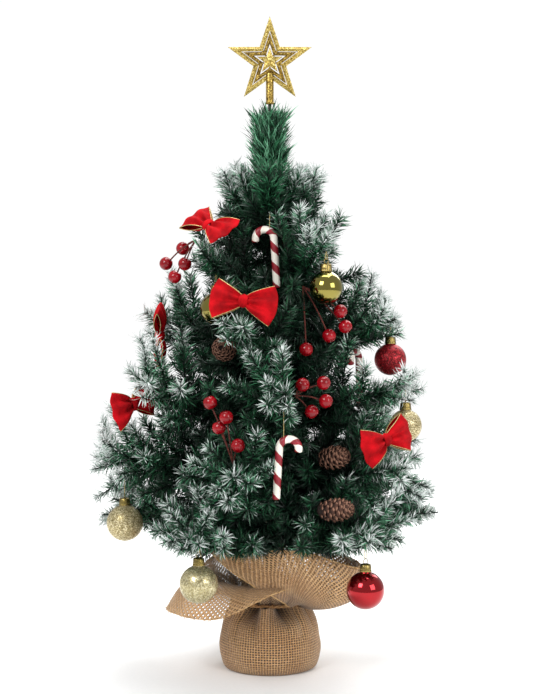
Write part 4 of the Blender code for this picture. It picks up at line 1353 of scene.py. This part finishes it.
def loop_point(side, around, across, seed):
    """A point of one loop of the bow: out from the knot in front, round its end, and back behind."""
    a = 2 * math.pi * around
    out = 0.5 - 0.5 * math.cos(a)
    droop = 1.0 - 0.18 * abs(across) ** 2.2
    x = side * (0.0015 + (BOW_HALF - 0.0018) * out * droop)
    half = 0.5 * (0.0085 + (BOW_HEIGHT - 0.0125) * out**0.8)
    depth = -BOW_DEPTH * math.sin(a) * (0.30 + 0.70 * math.sin(math.pi * min(1.0, out * 0.8 + 0.1)))
    pleat = PLEAT_DEPTH * math.cos(math.pi * 2.5 * across + seed)
    pleat *= (0.35 + 0.65 * (1 - out)) * min(1.0, out * 4 + 0.1)
    curl = 0.0020 * across * math.sin(seed * 3 + side)
    z = across * half + 0.0012 * side * math.sin(seed * 2) * out
    return Vector((x, depth * (1 - 0.25 * across**2) + pleat + curl * out, z))


for index, (bow_name, turns) in enumerate(BOW_TURNS.items()):
    place = facing(bow_name, *turns)
    bm = bmesh.new()
    edge_bm = bmesh.new()
    for side in (-1, 1):
        seed = index * 1.3 + side * 0.7
        across = [2 * k / ACROSS_STEPS - 1 for k in range(ACROSS_STEPS + 1)]
        around = [i / LOOP_STEPS for i in range(LOOP_STEPS + 1)]
        grid = [[bm.verts.new(place @ loop_point(side, u, v, seed)) for v in across] for u in around]
        for one, two in zip(grid, grid[1:]):
            for k in range(ACROSS_STEPS):
                corners = (one[k], two[k], two[k + 1], one[k + 1])
                bm.faces.new(corners if side > 0 else corners[::-1])
        for k in (0, ACROSS_STEPS):
            tube_into(edge_bm, [line[k].co for line in grid], EDGE_WIRE, 6)
    # The knot: a short band of ribbon round the pinched middle.
    knot_rows = []
    for t in (k / 4 - 1 for k in range(9)):
        row = []
        for i in range(KNOT_SIDES):
            a = 2 * math.pi * i / KNOT_SIDES
            size = (1.0 - 0.30 * t**2) * (1 + 0.07 * math.cos(3 * math.pi * t + i))
            point = (KNOT_HALF * t, KNOT_DEPTH * math.cos(a) * size, KNOT_HEIGHT * math.sin(a) * size)
            row.append(bm.verts.new(place @ Vector(point)))
        knot_rows.append(row)
    for one, two in zip(knot_rows, knot_rows[1:]):
        skin(bm, two, one)
    for face in bm.faces:
        face.smooth = True
    bow = piece_of(bm, f"{bow_name}_ribbon", velvet, outwards=False)
    thickened(bow, RIBBON, 0.0)
    edge = piece_of(edge_bm, f"{bow_name}_edge_wire", thread_gold)
    body = body_of(bow_name)
    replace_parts(bow, bow_name)
    for piece in (bow, edge):
        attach(piece, body)

# ---- The berry picks ----
# Foam beads dipped in dark red lacquer, each on a paper-wrapped wire, twisted together into a pick.
# The lacquer is thick and glossy, and pulls to a dimple at the bottom of each bead.
BERRY_RADIUS = 0.0062
BERRY_STEM = 0.0007
BOTTOM_DIMPLE, TOP_DIMPLE = 0.0010, 0.0006
lacquer, tree = new_material(
    "dipped_red_lacquer", Roughness=0.14, Specular_IOR_Level=0.34, Coat_Weight=0.12, Coat_Roughness=0.04
)
pool = grained(tree, 140.0, 3.0)
dress(tree, ramp(tree, pool, (0.3, "#6d020a"), (0.55, "#900614"), (0.8, "#ac0e1c")), pool, 0.15, 0.0004)
# Brown crepe paper wound on thin wire.
paper_wire, tree = new_material("paper_wrapped_wire", Roughness=0.85)
dress(tree, ramp(tree, grained(tree, 500.0), (0.3, "#3b1210"), (0.7, "#6a2a1c")))


def bead_centres(mesh, radius):
    """The centres of the beads in a pick: the points that many of its triangles are one radius away from."""
    votes = []
    mesh.calc_loop_triangles()
    for triangle in mesh.loop_triangles:
        a, b, c = (mesh.vertices[i].co for i in triangle.vertices)
        ab, ac = b - a, c - a
        normal = ab.cross(ac)
        if normal.length < 1e-12:
            continue
        middle = ac.length_squared * normal.cross(ab) + ab.length_squared * ac.cross(normal)
        middle /= 2 * normal.length_squared
        if middle.length < radius:
            votes.append(a + middle - normal.normalized() * math.sqrt(radius**2 - middle.length_squared))
    found = []
    for vote in votes:
        near = [v for v in votes if (v - vote).length < 0.0004]
        if len(near) > 12 and all((vote - f).length > radius for f in found):
            found.append(sum(near, Vector()) / len(near))
    return found


for sprig_name in sorted(name for name in nodes if name.startswith("berry_sprig")):
    body = body_of(sprig_name)
    foot, _, _, tip = limb_frame(body[5:])
    sprig_mesh = nodes[sprig_name].data
    along = (tip - foot).normalized()
    # The pick starts where its CAD solid is nearest to its branch.
    away = {v: (v.co - foot) - (v.co - foot).dot(along) * along for v in sprig_mesh.vertices}
    root = min(away, key=lambda v: away[v].length).co.copy()
    bm = bmesh.new()
    stem_bm = bmesh.new()
    for centre in bead_centres(sprig_mesh, BERRY_RADIUS):
        hang = (root - centre).normalized()
        turn = hang.to_track_quat("Z", "Y").to_matrix()
        bead = bmesh.ops.create_uvsphere(bm, u_segments=28, v_segments=18, radius=BERRY_RADIUS)
        for vertex in bead["verts"]:
            polar = vertex.co.z / BERRY_RADIUS
            dimple = BOTTOM_DIMPLE * smooth(0.90, 1.0, -polar) + TOP_DIMPLE * smooth(0.86, 1.0, polar)
            vertex.co = centre + turn @ (vertex.co * (1 - dimple / BERRY_RADIUS))
        middle = (root + centre) / 2 + Vector((0, 0, 0.10 * (root - centre).length))
        end = centre + hang * BERRY_RADIUS * 0.9
        bend = [root.lerp(middle, t).lerp(middle.lerp(end, t), t) for t in (i / 10 for i in range(11))]
        tube_into(stem_bm, bend, BERRY_STEM, 7)
    for face in bm.faces:
        face.smooth = True
    berries = piece_of(bm, f"{sprig_name}_beads", lacquer)
    stems = piece_of(stem_bm, f"{sprig_name}_stems", paper_wire)
    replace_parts(berries, sprig_name)
    for piece in (berries, stems):
        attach(piece, body)

# ---- The cones ----
# Small real larch cones, dried open: woody scales in a spiral round a core, wired on by the middle.
# A scale is dark brown, paler and rough along its thin edge, with a ridge down its back.
CONE_RADIUS = 0.0120
CONE_LENGTH = 0.032
CONE_SCALES = 64
SCALE_TURN = 137.5  # degrees round the cone from one scale to the next
# name: heading and pitch of its tip
CONE_TURNS = {
    "pine_cone_left": (-10.0, 10.0),
    "pine_cone_middle": (53.0, 10.0),
    "pine_cone_right": (80.0, 5.0),
}
cone_wood, tree = new_material("dried_cone_scale", Roughness=0.8)
edge = add(tree, "ShaderNodeAttribute", attribute_name="edge").outputs["Fac"]
bark = grained(tree, 380.0, 4.0)
tone = maths(tree, "MULTIPLY_ADD", bark, 0.4, edge)
# The edge itself is worn pale: the last colour starts at once where the third one ends.
browns = ramp(tree, tone, (0.15, "#1c0f0a"), (0.6, "#3a2118"), (0.95, "#5d3a2a"), (0.951, "#8a6450"))
dress(tree, browns, bark, 0.5, 0.0005)


def cone_width(t):
    """The cone's outer radius, t of the way from its stalk to its tip."""
    return CONE_RADIUS * math.sin(math.pi * (0.14 + 0.80 * t)) ** 0.7


def scale_into(bm, place, size, edge_layer):
    """Adds one scale: a cupped tongue that widens from its root, thin at its edge."""
    rows = []
    for reach, half in ((0.0, 0.16), (0.45, 0.34), (0.8, 0.42), (1.0, 0.26)):
        row = []
        for across in (-1.0, -0.5, 0.0, 0.5, 1.0):
            for under in (0, 1):
                cup = 0.16 * across**2 + 0.10 * reach**2
                thick = 0.10 * (1 - 0.6 * reach) * (1 - 0.7 * abs(across))
                z = cup - under * (thick + 0.02) + (0.05 * (1 - abs(across)) if not under else 0.0)
                point = Vector((half * across, reach * (1 - 0.10 * across**2), z)) * size
                vertex = bm.verts.new(place @ point)
                vertex[edge_layer] = smooth(0.35, 1.0, reach) * (0.55 + 0.45 * abs(across))
                row.append(vertex)
        rows.append(row)
    # A row runs over and under by turns, so a ring goes out by the even corners and back by the odd.
    rings = [[*row[0::2], *row[9:0:-2]] for row in rows]
    for one, two in zip(rings, rings[1:]):
        skin(bm, one, two)
    for ring, flip in ((rings[0], False), (rings[-1], True)):
        for k in range(4):
            quad = (ring[k], ring[k + 1], ring[8 - k], ring[9 - k])
            bm.faces.new(quad if flip else quad[::-1])


for cone_name, (heading, pitch) in CONE_TURNS.items():
    place = facing(cone_name, heading, pitch) @ Matrix.Rotation(math.radians(90), 4, "X")
    bm = bmesh.new()
    edge_layer = bm.verts.layers.float.new("edge")
    core = [(0.0, -CONE_LENGTH / 2)]
    core += [(0.52 * cone_width(t), CONE_LENGTH * (t - 0.5)) for t in (0.08, 0.25, 0.5, 0.75, 0.92)]
    core += [(0.0, CONE_LENGTH * 0.46)]
    turned_into(bm, core, 14)
    bmesh.ops.transform(bm, matrix=place, verts=bm.verts)
    for i in range(CONE_SCALES):
        t = (i + 0.5) / CONE_SCALES
        reach = cone_width(t)
        root = Vector((0, 0.38 * reach, CONE_LENGTH * (t * 0.92 - 0.46)))
        stand = Matrix.Translation(root) @ Matrix.Rotation(math.radians(28 + 46 * t), 4, "X")
        spin = Matrix.Rotation(math.radians(SCALE_TURN) * i, 4, "Z")
        scale_into(bm, place @ spin @ stand, 0.78 * reach + 0.001, edge_layer)
    cone = piece_of(bm, cone_name.replace("pine_cone", "cone_scales"), cone_wood)
    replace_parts(cone, cone_name)
    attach(cone, body_of(cone_name))
